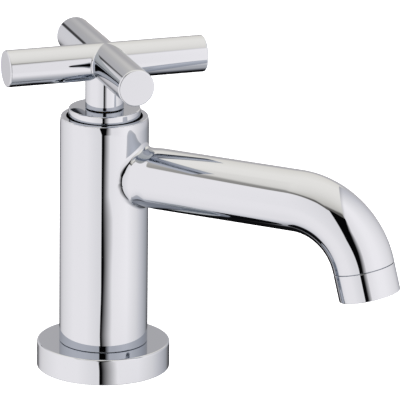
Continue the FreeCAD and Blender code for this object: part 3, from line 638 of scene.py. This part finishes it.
class TAP_OT_outlet_collar(bpy.types.Operator):
    """Outlet collar with a fine seam against the tube and a thin lip round the aerator"""
    bl_idname = "tap.outlet_collar"
    bl_label = "Outlet collar"

    def execute(self, context):
        top = COLLAR_LENGTH
        edge = top - 0.17 * MM              # the seam's fine gap
        neck = SPOUT_RADIUS - 0.8 * MM      # the ring that the tube's end stands on
        socket, step = 11.55 * MM, top - 2.2 * MM
        ledge, ledge_low = 9.2 * MM, step - 1.0 * MM                # what the aerator seals on
        bore = SPOUT_RADIUS - 1.65 * MM
        profile = outline([
            (bore, 0, 0.2 * MM), (SPOUT_RADIUS, 0, 0.3 * MM), (SPOUT_RADIUS, edge, 0.2 * MM),
            (neck, edge, 0), (neck, top, 0), (socket, top, 0), (socket, step, 0), (ledge, step, 0),
            (ledge, ledge_low, 0), (bore, ledge_low, 0)], steps=6)
        mouth = spout_seam() + OUTLET_WAY * top
        ring = placed(revolve(profile, COLUMNS), mouth, tilt_about_x(BEND_ANGLE - math.pi / 2))
        add_piece("collar_ring", [(ring, True, True)], "outlet_collar", "chrome")
        return {"FINISHED"}


class TAP_OT_cover(bpy.types.Operator):
    """Cover disc inside the pillar's rim, with a rounded top edge"""
    bl_idname = "tap.cover"
    bl_label = "Cover disc"

    def execute(self, context):
        plate = COVER_LOW + 5.1 * MM        # underside of the disc
        cup = COVER_RADIUS - 1.5 * MM       # inside of the skirt under it
        lip, hub = COVER_TOP - 1.4 * MM, 8.55 * MM
        hole = 6.5 * MM
        profile = outline([
            (cup, COVER_LOW, 0), (COVER_RADIUS, COVER_LOW, 0.2 * MM),
            (COVER_RADIUS, COVER_TOP, context.scene.tap_sizes.cover_round),
            (hole, COVER_TOP, 0.2 * MM), (hole, lip, 0), (hub, lip, 0), (hub, plate, 0),
            (cup, plate, 0)])
        disc = revolve(profile, COLUMNS)
        add_piece("cover_disc", [(disc, True, True)], "bonnet_cover", "chrome")
        return {"FINISHED"}


def crease_points(angle, share, arm, crease):
    """Points of the fillet between two arms that lie along X and Y.

    At each angle round the arms a ball rests in the corner, one crease radius off both, and the
    point is on its arc from the first arm's touch at share 0 to the second's at share 1.
    """
    reach = arm + crease
    c, s = np.cos(angle), np.sin(angle)
    ball = np.stack([reach * c, reach * c, reach * s], -1)
    first = np.stack([0 * c, -c, -s], -1)
    last = np.stack([-c, 0 * c, -s], -1)
    spread = np.maximum(np.arccos(np.clip(s * s, -1, 1)), 1e-5)[..., None]
    share = np.broadcast_to(share, angle.shape)[..., None]
    return ball + crease * swung(first, last, spread, share)


def neck_end_angles(share, arm, crease, neck):
    """Angle at which each line along the crease's fillet runs into the round neck, by halving."""
    low = np.full_like(share, math.radians(-89))
    high = np.zeros_like(share)
    for _ in range(HALVINGS):
        middle = (low + high) / 2
        points = crease_points(middle, share, arm, crease)
        outside = points[:, 0] ** 2 + points[:, 1] ** 2 > neck ** 2
        high = np.where(outside, middle, high)
        low = np.where(outside, low, middle)
    return (low + high) / 2


def turned_about_axis(points, heading, height):
    """Points turned about Z by a heading and lifted to a height."""
    return placed(points, np.array([0, 0, height]), turn_about_z(heading))


def holed_ring(unit, radius, low, high, hole_height, hole_radius, hole_floor):
    """Patches of a round wall with a blind round hole in its +Y side.

    The wall leaves out a window of whole columns, nearly three hole radii wide. Rings run from the
    window's edge, unrolled on the wall, to the hole's circle, and then down the hole to its floor.
    """
    half_window = 1.45 * hole_radius / radius
    columns = np.nonzero(np.abs(np.arctan2(unit[:, 0], unit[:, 1])) < half_window)[0]
    heights = np.linspace(low, high, 13)
    others = np.concatenate([np.arange(columns[-1], len(unit)), np.arange(0, columns[0] + 1)])

    def wall(which, level):
        """Points on the wall over some columns at one height."""
        return np.concatenate([unit[which] * radius, np.full((len(which), 1), level)], -1)

    rest = np.array([wall(others, level) for level in heights])
    window = np.array([wall(columns, level) for level in heights])
    edge = np.concatenate([window[0], window[1:-1, -1], window[-1, ::-1], window[-2:0:-1, 0]])
    across = np.arctan2(edge[:, 0], edge[:, 1]) * radius
    up = edge[:, 2] - hole_height
    away = np.hypot(across, up)
    rings = []
    for share in np.linspace(0, 1, 6):
        scale = (1 - share) + share * hole_radius / away
        angle = across * scale / radius
        rings.append(np.stack([radius * np.sin(angle), radius * np.cos(angle),
                               hole_height + up * scale], -1))
    for scale in (1.0, TINY):
        rings.append(np.stack([across * hole_radius / away * scale, np.full_like(across, hole_floor),
                               hole_height + up * hole_radius / away * scale], -1))
    return [(rest, False, False), (np.array(rings), False, True)]


class TAP_OT_handle(bpy.types.Operator):
    """Cross handle: a round neck and four equal arms with small fillets in their creases"""
    bl_idname = "tap.handle"
    bl_label = "Cross handle"

    def execute(self, context):
        sizes = context.scene.tap_sizes
        arm, neck, crease = sizes.arm_radius, sizes.neck_radius, sizes.arm_crease
        rounding = sizes.arm_end_round
        axis = HANDLE_TOP - arm
        reach = float(node_box("cross_handle")[1][0]) * math.sqrt(2) - arm
        reach += rounding * (2 - math.sqrt(2))
        # Fillet grid: each column starts at the top, where the arms meet, and ends on the neck.
        share = np.linspace(0, 1, 15)
        step = np.linspace(0, 1, 101)[:, None]
        top = math.pi / 2
        angle = top + (neck_end_angles(share, arm, crease, neck) - top) * step
        fillet = crease_points(angle, share, arm, crease)
        # Arm: round its section from the top, down one crease, under the neck and up the other.
        side_angle = angle[:, 0]
        lowest = side_angle[-1]
        under_angle = np.linspace(lowest, -math.pi - lowest, 41)[1:-1]
        a = np.concatenate([side_angle, under_angle, (-math.pi - side_angle)[:0:-1]])
        side, up = arm * np.cos(a), arm * np.sin(a)
        start = (arm + crease) * np.abs(np.cos(a))
        under = slice(len(side_angle), len(side_angle) + len(under_angle))
        start[under] = np.sqrt(neck ** 2 - side[under] ** 2)
        end = outline([(arm, -reach, 0), (arm, reach, rounding), (0, reach, 0)], steps=8)[1:-1]
        rows = [np.stack([start + (reach - rounding - start) * s, side, up], -1)
                for s in (0, 0.02, 0.25, 0.5, 0.75)]
        rows += [np.stack([np.full_like(a, along), side * r / arm, up * r / arm], -1)
                 for r, along in end]
        rows.append(np.stack([np.full_like(a, reach), side * TINY, up * TINY], -1))
        blade = np.array(rows)
        under_row = blade[0][len(side_angle) - 1:len(side_angle) + len(under_angle) + 1]
        patches, neck_top = [], []
        for quarter in range(4):
            heading = math.radians(45 + 90 * quarter)
            patches.append((turned_about_axis(blade, heading, axis), False, True))
            patches.append((turned_about_axis(fillet, heading, axis), False, False))
            neck_top.append(turned_about_axis(under_row[::-1], heading, axis))
            neck_top.append(turned_about_axis(fillet[-1][1:-1], heading, axis))
        neck_top = np.concatenate(neck_top)
        unit = neck_top[:, :2] / np.linalg.norm(neck_top[:, :2], axis=1)[:, None]

        def ring(radius, height):
            """The neck's columns at one radius and height."""
            return np.concatenate([unit * radius, np.full((len(unit), 1), height)], -1)

        bore, ceiling = 5.5 * MM, HANDLE_LOW + 11.8 * MM        # the spline bush's seat
        hole, hole_radius, hole_floor = HANDLE_LOW + 5.2 * MM, 2.05 * MM, 6.2 * MM
        low, high = hole - 3.0 * MM, hole + 3.0 * MM            # the wall round the screw's hole
        edge, halfway = 0.3 * MM, 0.09 * MM                     # rounding of the neck's foot
        patches.append((np.array([neck_top, ring(neck, high)]), False, True))
        patches += holed_ring(unit, neck, low, high, hole, hole_radius, hole_floor)
        patches.append((np.array([
            ring(neck, low), ring(neck, HANDLE_LOW + edge + GUARD), ring(neck, HANDLE_LOW + edge),
            ring(neck - halfway, HANDLE_LOW + halfway), ring(neck - edge, HANDLE_LOW),
            ring(bore, HANDLE_LOW), ring(bore, ceiling), ring(TINY, ceiling)]), False, True))
        add_piece("handle_casting", patches, "cross_handle", "chrome", sharp=25.0)
        return {"FINISHED"}


class TAP_OT_inlet_tail(bpy.types.Operator):
    """Inlet tail with its cut pipe thread, a relief between its two lengths, and a plain bore"""
    bl_idname = "tap.inlet_tail"
    bl_label = "Threaded inlet tail"

    def execute(self, context):
        sizes = context.scene.tap_sizes
        low, high = node_box("inlet_tail")
        major = float(high[0] - low[0]) / 2
        bottom, top = float(low[2]), float(high[2])
        bore, bore_edge = 6.5 * MM, 0.4 * MM
        pitch, depth = sizes.thread_pitch, sizes.thread_depth
        turn = np.linspace(0, TURN, FEW_COLUMNS, endpoint=False)
        thread_top = -1.0 * MM
        height = np.arange(bottom, thread_top, pitch / 12)[:, None]
        # The groove is a rounded vee: its depth follows how far the height is from the helix, as a
        # share of the pitch, with the crest and the root rounded by the sine. It fades out at the
        # top. The tail's lower end is chamfered, and a turned relief parts the thread in two.
        phase = (height / pitch - turn / TURN) % 1.0
        groove = depth * (0.5 + 0.5 * np.sin(TURN * phase)) ** 0.85
        chamfer, fade = 1.0 * MM, 1.5 * MM
        run_in = np.clip((height - bottom) / chamfer, 0, 1)
        run_out = np.clip((thread_top - height) / fade, 0, 1)
        relief, relief_half, relief_slope = 1.2 * MM, 1.0 * MM, 0.15 * MM
        off_relief = np.abs(height - (bottom + 17.0 * MM))
        in_relief = np.clip((relief_half - off_relief) / relief_slope + 1, 0, 1)
        radius = major - groove * run_out
        radius = np.minimum(radius, major - chamfer * (1 - run_in))
        radius = radius * (1 - in_relief) + np.minimum(radius, major - relief) * in_relief
        rows = np.stack([radius * np.cos(turn), radius * np.sin(turn),
                         np.broadcast_to(height, radius.shape)], -1)
        plain = np.array([(major, thread_top), (major, top), (bore, top), (bore, bottom + bore_edge),
                          (bore + bore_edge, bottom)])
        grid = np.concatenate([rows, revolve(plain, FEW_COLUMNS)])
        add_piece("threaded_tail", [(grid, True, True)], "inlet_tail", "bare_brass", sharp=50.0)
        return {"FINISHED"}


class TAP_OT_finishes(bpy.types.Operator):
    """Give every CAD node that stays in view the finish of its material slot"""
    bl_idname = "tap.finishes"
    bl_label = "Finishes of the frame's pieces"

    def execute(self, context):
        slot_of = {part["node"]: part["material_slot"] for part in frame["record"]["subparts"]}
        for name, node in frame["nodes"].items():
            node.data.materials.clear()
            node.data.materials.append(finish_named(slot_of[name]))
        return {"FINISHED"}


# --------------------------------------------------------------------------------------------- stage
# The camera stood 2.1 m off at the tap's left front and looked 17 degrees down.
CAMERA_FOCUS = (38.852, 70.619)         # mm to the right of the tap's axis and above the deck
CAMERA_DISTANCE = 2108.254 * MM
CAMERA_DOWN = math.radians(17.365)
CAMERA_ROLL = math.radians(-0.668)
CAMERA_AZIMUTH = math.radians(26.225 - 90)
FOCAL_PIXELS = 5205.663                 # focal length in the photograph's pixels
PICTURE_PIXELS = 400
SENSOR = 36.0
TENT_RADIUS = 0.7                       # the tent and the panel are in metres
TENT_MIDDLE = (0.0, 0.0, 0.09)
PANEL_BEARING = math.radians(78)
PANEL_DISTANCE = 0.203
PANEL_FRONT, PANEL_BACK = 0.29, -0.45
PANEL_BOTTOM, PANEL_TOP = -0.10, 0.344
# Depth of the painted shade along the panel's top.
PANEL_TOP_SHADE = 0.05
# A dark sleeve below the deck is painted dark reflection: only reflections see it, under the tap.
DARK_SLEEVE_RADIUS = FLANGE_RADIUS - 1 * MM
DARK_SLEEVE_BOTTOM, DARK_SLEEVE_TOP = -56 * MM, DECK - 0.5 * MM
FLOOR_HEIGHT = DECK - 0.05 * MM         # just clear of the flange's foot
FLOOR_RINGS = (TINY, 0.05, 0.2, 0.6, 1.2)


def camera_frame():
    """Camera place and its right, up and forward directions, as arrays in the part's frame."""
    forward = np.array([0, math.cos(CAMERA_DOWN), -math.sin(CAMERA_DOWN)])
    up = np.array([0, math.sin(CAMERA_DOWN), math.cos(CAMERA_DOWN)])
    right = np.array([1.0, 0, 0])
    place = np.array([CAMERA_FOCUS[0] * MM, 0, CAMERA_FOCUS[1] * MM]) - CAMERA_DISTANCE * forward
    c, s = math.cos(CAMERA_ROLL), math.sin(CAMERA_ROLL)
    right, up = right * c - up * s, right * s + up * c
    turn = turn_about_z(CAMERA_AZIMUTH)
    return turn @ place, turn @ right, turn @ up, turn @ forward


def place_camera():
    """A long lens at the photograph's viewing angle."""
    data = bpy.data.cameras.new("Camera")
    data.sensor_width = SENSOR
    data.sensor_fit = "HORIZONTAL"
    data.lens = SENSOR * FOCAL_PIXELS / PICTURE_PIXELS
    data.clip_end = 20.0
    camera = bpy.data.objects.new("Camera", data)
    bpy.context.scene.collection.objects.link(camera)
    place, right, up, forward = camera_frame()
    matrix = Matrix.Identity(4)
    for row in range(3):
        matrix[row][0], matrix[row][1] = right[row], up[row]
        matrix[row][2], matrix[row][3] = -forward[row], place[row]
    camera.matrix_world = matrix
    bpy.context.scene.camera = camera


def cloth_material(name, colours, hanging=False):
    """White cloth of the light tent round the tap, seen only in the metal's reflections.

    Lavender-white walls stand under a cream ceiling with a crisp edge, a shaded hem above it and a
    dark upright slit at the front. Low down the cloth falls into shadow, darkest behind the tap. A
    hanging panel has the wall's colours alone, with painted shade darkening it along its top.
    Bearings are in degrees from the camera's side, positive to the right, and rises in degrees
    above the tap's middle. The colours are those that the chrome shows, so they are divided by the
    chrome's own colour at the end.
    """
    material, tree, place = new_material(name)
    camera = camera_frame()[0]
    centred = add(tree, "Mapping", {"vector_type": "TEXTURE"}, Vector=place, Location=TENT_MIDDLE,
                  Rotation=(0, 0, math.atan2(camera[1], camera[0])))
    unit = add(tree, "VectorMath", {"operation": "NORMALIZE"}, {0: centred})
    toward_camera, to_right, upward = add(tree, "SeparateXYZ", numbered={0: unit}).outputs
    around = add(tree, "Math", {"operation": "ARCTAN2"}, {0: to_right, 1: toward_camera})
    bearing = add(tree, "Math", {"operation": "DEGREES"}, {0: around})
    climb = add(tree, "Math", {"operation": "ARCSINE"}, {0: upward})
    rise = add(tree, "Math", {"operation": "DEGREES"}, {0: climb})

    def off(value, middle):
        """How far a value is from a middle, either way."""
        apart = add(tree, "Math", {"operation": "SUBTRACT"}, {0: value, 1: middle})
        return add(tree, "Math", {"operation": "ABSOLUTE"}, {0: apart})

    def painted(under, over, *parts):
        """The cloth with a colour over it, as strong as the product of its parts.

        A part is a strength or (value, low, high), which goes smoothly from 0 at low to 1 at high.
        """
        strength = 1.0
        for part in parts:
            if isinstance(part, tuple):
                smooth = {"interpolation_type": "SMOOTHSTEP"}
                part = add(tree, "MapRange", smooth, dict(enumerate(part)))
            strength = add(tree, "Math", {"operation": "MULTIPLY"}, {0: strength, 1: part})
        layers = {0: strength, 6: under, 7: over}
        return add(tree, "Mix", {"data_type": "RGBA"}, layers).outputs[2]

    def curve(value, points):
        """A straight-lined curve through (value, result) points."""
        low, high = points[0][0], points[-1][0]
        bottom = min(result for _, result in points)
        top = max(result for _, result in points)
        along = add(tree, "MapRange", numbered={0: value, 1: low, 2: high})
        node = add(tree, "FloatCurve", Value=along)
        line = node.mapping.curves[0]
        scaled = [((v - low) / (high - low), (r - bottom) / (top - bottom)) for v, r in points]
        line.points[0].location = scaled[0]
        line.points[-1].location = scaled[-1]
        for v, r in scaled[1:-1]:
            line.points.new(v, r)
        for point in line.points:
            point.handle_type = "VECTOR"
        node.mapping.update()
        return add(tree, "MapRange", Value=node, To_Min=bottom, To_Max=top)

    def coloured(value, stops):
        """Colour by a value, mixed evenly between (value, hex code) stops."""
        low, high = stops[0][0], stops[-1][0]
        along = add(tree, "MapRange", numbered={0: value, 1: low, 2: high})
        node = add(tree, "ValToRGB", Fac=along)
        elements = node.color_ramp.elements
        elements.remove(elements[-1])
        elements[0].position = 0
        elements[0].color = rgba(linear(stops[0][1]))
        for v, code in stops[1:]:
            elements.new((v - low) / (high - low)).color = rgba(linear(code))
        return node

    def under_ceiling(tent):
        """The tent with its ceiling, hem, slit and gap over the wall's colours."""
        # The ceiling is a little darker toward the camera's side. Its edge is soft at the back only.
        ceiling = coloured(toward_camera, [
            (-1, "#D2D1CE"), (-0.7, "#DBDAD7"), (-0.4, "#E1E0DE"), (0, "#DFDEDC"),
            (0.26, "#DAD9D7"), (0.42, "#D4D3D1"), (0.57, "#CAC9C6"), (0.77, "#BCBBB9"),
            (1, "#BCBBB9")])
        edge = curve(bearing, [
            (-180, 24), (-150, 32), (-120, 44), (-100, 57), (-88, 60), (-75, 53.5), (-62, 46.5),
            (-50, 37.5), (-36, 37.9), (-20, 37.6), (-10, 34), (-7.5, 34.8), (18, 36), (45, 36),
            (60, 32), (110, 30), (140, 20), (165, 18), (180, 24)])
        softness = curve(bearing, [
            (-180, 8), (-110, 8), (-92, 1.5), (-75, 0.8), (110, 0.8), (140, 2), (160, 5), (180, 8)])
        above = add(tree, "Math", {"operation": "SUBTRACT"}, {0: rise, 1: edge})
        over_edge = add(tree, "Math", {"operation": "DIVIDE"}, {0: above, 1: softness})
        tent = painted(tent, ceiling, (over_edge, -1, 1))
        # Hem: the ceiling's cloth sags into shade just above its edge, over the front and sides.
        depth = curve(bearing, [
            (-110, 0), (-88, 0.4), (-60, 0.6), (-40, 0.75), (-20, 0.98), (17, 0.98), (20, 0.45),
            (45, 0.45), (62, 0.0)])
        width = curve(bearing, [(-110, 5), (-60, 8), (-50, 9), (-36, 7.5), (-20, 8.5), (30, 10)])
        over_hem = add(tree, "Math", {"operation": "DIVIDE"}, {0: above, 1: width})
        tent = painted(tent, "#1E1D1E", (above, -0.9, 0.9), (over_hem, 1, 0.5), depth)
        tent = painted(tent, "#8F8D8B", (above, -0.9, 0.9), (above, 20, 1), depth, 0.36)
        # Slit: sharp on its left, and an even ramp on its right that is wide low down.
        left = curve(rise, [
            (-90, -6.4), (-24.8, -6.4), (-24.3, -9.4), (-23.3, -8.4), (-22.2, -6.4), (-14, -6.8),
            (-10, -6.6), (-5, -8.3), (3, -12), (15, -10), (36, -7.5), (40, -7.5)])
        right = curve(rise, [
            (-90, -2), (-24.8, -2), (-24.2, -6.3), (-23.6, -5.2), (-22.9, -3.3), (-22, -1.7),
            (-21, -0.3), (-20.2, -0.8), (-18.5, -2.5), (-16.8, -1.7), (-15.9, -0.9),
            (-10.9, -0.9), (-9.9, 3.7), (-5, 3.9), (4, 5.2), (12, 5.2), (22, 7.8), (30, 12.6),
            (36, 17.2), (40, 17.2)])
        soft = curve(rise, [
            (-90, 27), (-23.5, 27), (-22, 23), (-21, 22), (-20, 25), (-18.7, 26), (-17.9, 16),
            (-4, 14), (13, 11), (22, 6), (36, 2), (40, 2)])
        past_left = add(tree, "Math", {"operation": "SUBTRACT"}, {0: bearing, 1: left})
        past_right = add(tree, "Math", {"operation": "SUBTRACT"}, {0: bearing, 1: right})
        faded = add(tree, "Math", {"operation": "DIVIDE"}, {0: past_right, 1: soft})
        ramp = add(tree, "MapRange", numbered={0: faded, 1: 1, 2: 0})
        tent = painted(tent, "#060607", (past_left, -0.7, 0.7), ramp, (rise, 37.4, 36.4),
                       (rise, -72, -56))
        # A narrow gap at the left back, with the cloth above it in soft shade.
        sideways = off(bearing, -148)
        middle = curve(bearing, [
            (-180, 19.2), (-152, 19.2), (-147, 18.8), (-143, 17.9), (180, 17.8)])
        over_gap = add(tree, "Math", {"operation": "SUBTRACT"}, {0: rise, 1: middle})
        tent = painted(tent, "#8A8A8D", (over_gap, -1.5, 0.5), (over_gap, 19, 2),
                       (sideways, 28, 12), 0.55)
        return painted(tent, "#0A0A0B", (sideways, 9, 5), (off(over_gap, 0), 2.9, 1), 0.9)

    # The cloth's shades, from the lightest to the blackest.
    snow, light, lit, pale, mild = "#E9E8ED", "#E3E2E7", "#DEDDE2", "#D5D5DA", "#C9CAD1"
    cool, dim, ash, dusk = "#BFC0C8", "#A5A6AC", "#999DA6", "#84868D"
    gloom, coal, dark, black = "#5C5F68", "#3A3C44", "#2A2C30", "#19191C"
    wall = coloured(bearing, [
        (-180, dim), (-145, mild), (-127, pale), (-85, light), (-50, light), (-12, pale), (30, lit),
        (52, snow), (62, snow), (90, pale), (120, cool), (180, dim)])
    skirt = coloured(bearing, [
        (-180, dark), (-165, coal), (-156, dusk), (-148, cool), (-128, pale), (-85, light),
        (-45, light), (-12, pale), (30, light), (60, snow), (89, pale), (107, cool), (136, ash),
        (148, dusk), (160, gloom), (180, dark)])
    low_wall = coloured(bearing, [
        (-180, black), (-165, dark), (-142, dusk), (-118, dim), (-88, mild), (-65, lit), (-30, pale),
        (0, cool), (32, dim), (60, ash), (79, dim), (98, ash), (115, dusk), (135, gloom),
        (150, coal), (165, black), (180, black)])
    tent = painted(wall, skirt, (rise, -6, -15))
    tent = painted(tent, low_wall, (rise, -26, -66))
    # A grey ground lies inside the cloth's foot, and on the right a thin dark line runs along it.
    tent = painted(tent, "#97999F", (rise, -68, -86))
    tent = painted(tent, "#0A0A0B", (off(rise, -72.3), 3.0, 0.8), (off(bearing, 85), 60, 30), 0.75)
    # A short dark fold stands low on the left, and behind the tap the low cloth is black.
    tent = painted(tent, "#060607", (off(bearing, -109), 11, 5), (rise, -48, -56), (rise, -69, -67),
                   0.9)
    tent = painted(tent, "#0E0E10", (off(bearing, 0), 138, 158), (rise, -18, -32), (rise, -80, -68))
    if hanging:
        height = add(tree, "SeparateXYZ", numbered={0: place}).outputs[2]
        # Painted shade: the panel darkens toward its top.
        tent = painted(tent, "#77777A", (height, PANEL_TOP - PANEL_TOP_SHADE, PANEL_TOP), 0.35)
    else:
        tent = under_ceiling(tent)
    bright = add(tree, "VectorMath", {"operation": "DIVIDE"}, {0: tent, 1: tuple(colours.chrome)})
    glow = add(tree, "Emission", Color=bright, Strength=1.0)
    add(tree, "OutputMaterial", Surface=glow)
    return material


def front_only(tree, surface):
    """Put a surface on the material's output that shows from its front and is clear from behind."""
    side = add(tree, "NewGeometry").outputs["Backfacing"]
    clear = add(tree, "BsdfTransparent")
    both = add(tree, "MixShader", numbered={0: side, 1: surface, 2: clear})
    add(tree, "OutputMaterial", Surface=both)


def dark_sleeve_material():
    """Painted dark reflection: a sleeve below the deck, black from outside and open from inside."""
    material, tree, _ = new_material("dark_stand")
    front_only(tree, add(tree, "Emission", Color="#111113", Strength=1.0))
    return material


def only_in_reflections(piece):
    """A stage piece that nothing but the metal's reflections see."""
    piece.visible_camera = False
    piece.visible_diffuse = False
    piece.visible_shadow = False
    piece.visible_transmission = False
    piece.visible_volume_scatter = False


def pitch_tent(colours):
    """The light tent, a sphere in bearing and rise, a side panel, and a dark sleeve under the tap."""
    rise = np.linspace(-math.pi / 2, math.pi / 2, 49)
    sphere = revolve(np.stack([np.cos(rise), np.sin(rise)], -1), FEW_COLUMNS)
    sphere = sphere * TENT_RADIUS + np.array(TENT_MIDDLE)
    # The panel is a flat sheet that stands square to its bearing, to the right of the tap.
    camera = camera_frame()[0]
    heading = math.atan2(camera[1], camera[0]) + PANEL_BEARING
    away = np.array([math.cos(heading), math.sin(heading), 0])
    sideways = np.array([math.sin(heading), -math.cos(heading), 0])
    along = np.linspace(PANEL_BACK, PANEL_FRONT, 25)[None, :, None]
    up = np.linspace(PANEL_BOTTOM, PANEL_TOP, 13)[:, None, None]
    panel = away * PANEL_DISTANCE + sideways * along + np.array([0, 0, 1]) * up
    # Painted dark reflection: a dark sleeve round the tail below the deck, seen only in reflections.
    stand = np.array([(DARK_SLEEVE_RADIUS, DARK_SLEEVE_BOTTOM), (DARK_SLEEVE_RADIUS, DARK_SLEEVE_TOP)])
    for name, surface, material in (
            ("light_tent", (sphere, False, True), cloth_material("light_tent_cloth", colours)),
            ("side_panel", (panel, False, False),
             cloth_material("side_panel_cloth", colours, hanging=True)),
            ("dark_stand", (revolve(stand, FEW_COLUMNS), False, True), dark_sleeve_material())):
        piece = show(name, build_mesh(name, [surface]), material)
        only_in_reflections(piece)


def floor_material(colours):
    """Pale deck: white to the camera apart from the tap's soft shadow, and open from below."""
    material, tree, place = new_material("pale_matt_deck")
    grain = add(tree, "TexNoise", Vector=place, Scale=1 / (2 * MM), Detail=2.0)
    tones = {0: grain, 6: rgba(colours.floor), 7: shade(colours.floor, 0.99)}
    tint = add(tree, "Mix", {"data_type": "RGBA"}, tones)
    shader = add(tree, "BsdfPrincipled", Base_Color=tint.outputs[2], Roughness=0.9,
                 Specular_IOR_Level=0.0)
    white = add(tree, "Emission", Strength=0.8)
    seen = add(tree, "AddShader", numbered={0: white, 1: shader})
    direct = add(tree, "LightPath").outputs["Is Camera Ray"]
    front_only(tree, add(tree, "MixShader", numbered={0: direct, 1: shader, 2: seen}))
    return material


def lay_floor(colours):
    """A round deck at the flange's foot: flat rings round the tap's axis."""
    rings = np.array([(radius, FLOOR_HEIGHT) for radius in reversed(FLOOR_RINGS)])
    mesh = build_mesh("floor", [(revolve(rings, FEW_COLUMNS), False, True)])
    if mesh.polygons[0].normal.z < 0:
        mesh.flip_normals()
    floor = show("floor", mesh, floor_material(colours))
    floor.visible_glossy = False


def light_world():
    """White background for camera, gloss and transmission, and a plain pale light for the rest."""
    world = bpy.data.worlds.new("studio")
    bpy.context.scene.world = world
    world.use_nodes = True
    tree = world.node_tree
    tree.nodes.clear()
    path = add(tree, "LightPath").outputs
    either = add(tree, "Math", {"operation": "MAXIMUM"},
                 {0: path["Is Camera Ray"], 1: path["Is Glossy Ray"]})
    any_view = add(tree, "Math", {"operation": "MAXIMUM"}, {0: either, 1: path["Is Transmission Ray"]})
    soft = add(tree, "Background", Color="#E6E6EA", Strength=0.8)
    white = add(tree, "Background", Color="#FFFFFF", Strength=1.0)
    mix = add(tree, "MixShader", numbered={0: any_view, 1: soft, 2: white})
    add(tree, "OutputWorld", Surface=mix)


def hang_lamp(name, place, size, power):
    """A square soft lamp that looks at the tap and isn't mirrored in it."""
    data = bpy.data.lights.new(name, "AREA")
    data.size = size
    data.energy = power
    lamp = bpy.data.objects.new(name, data)
    bpy.context.scene.collection.objects.link(lamp)
    lamp.location = place
    toward = np.array(place) - np.array(TENT_MIDDLE)
    lamp.rotation_euler = (
        math.atan2(math.hypot(toward[0], toward[1]), toward[2]), 0,
        math.atan2(toward[1], toward[0]) + math.pi / 2)
    lamp.visible_glossy = False


class TAP_OT_stage(bpy.types.Operator):
    """Camera, white background, pale floor, soft lamps and the light tent that the chrome mirrors"""
    bl_idname = "tap.stage"
    bl_label = "Stage"

    def execute(self, context):
        context.scene.view_settings.view_transform = "Standard"
        place_camera()
        light_world()
        lay_floor(context.scene.tap_colours)
        pitch_tent(context.scene.tap_colours)
        hang_lamp("key_lamp", (-0.7, -0.6, 0.9), 0.6, 6.0)
        hang_lamp("fill_lamp", (0.8, 0.5, 0.7), 0.8, 2.5)
        return {"FINISHED"}


class TAP_PT_panel(bpy.types.Panel):
    """Buttons and settings for the tap's looks"""
    bl_idname = "TAP_PT_panel"
    bl_label = "Cross handle tap"
    bl_space_type = "VIEW_3D"
    bl_region_type = "UI"
    bl_category = "Tap"

    def draw(self, context):
        for operator in STEPS:
            self.layout.operator(operator.bl_idname)
        for group in (context.scene.tap_sizes, context.scene.tap_colours):
            for name in group.__annotations__:
                self.layout.prop(group, name)


STEPS = (
    TAP_OT_finishes, TAP_OT_base_flange, TAP_OT_pillar, TAP_OT_spout, TAP_OT_outlet_collar,
    TAP_OT_cover, TAP_OT_handle, TAP_OT_inlet_tail, TAP_OT_stage)
CLASSES = (TapSizes, TapColours) + STEPS + (TAP_PT_panel,)


def register():
    """Register the classes and hang the settings on the scene."""
    for item in CLASSES:
        bpy.utils.register_class(item)
    bpy.types.Scene.tap_sizes = bpy.props.PointerProperty(type=TapSizes)
    bpy.types.Scene.tap_colours = bpy.props.PointerProperty(type=TapColours)


def unregister():
    """Take the settings and the classes away again."""
    del bpy.types.Scene.tap_sizes
    del bpy.types.Scene.tap_colours
    for item in reversed(CLASSES):
        bpy.utils.unregister_class(item)


def main():
    """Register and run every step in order."""
    register()
    for operator in STEPS:
        group, name = operator.bl_idname.split(".")
        getattr(getattr(bpy.ops, group), name)()


if __name__ == "__main__":
    main()
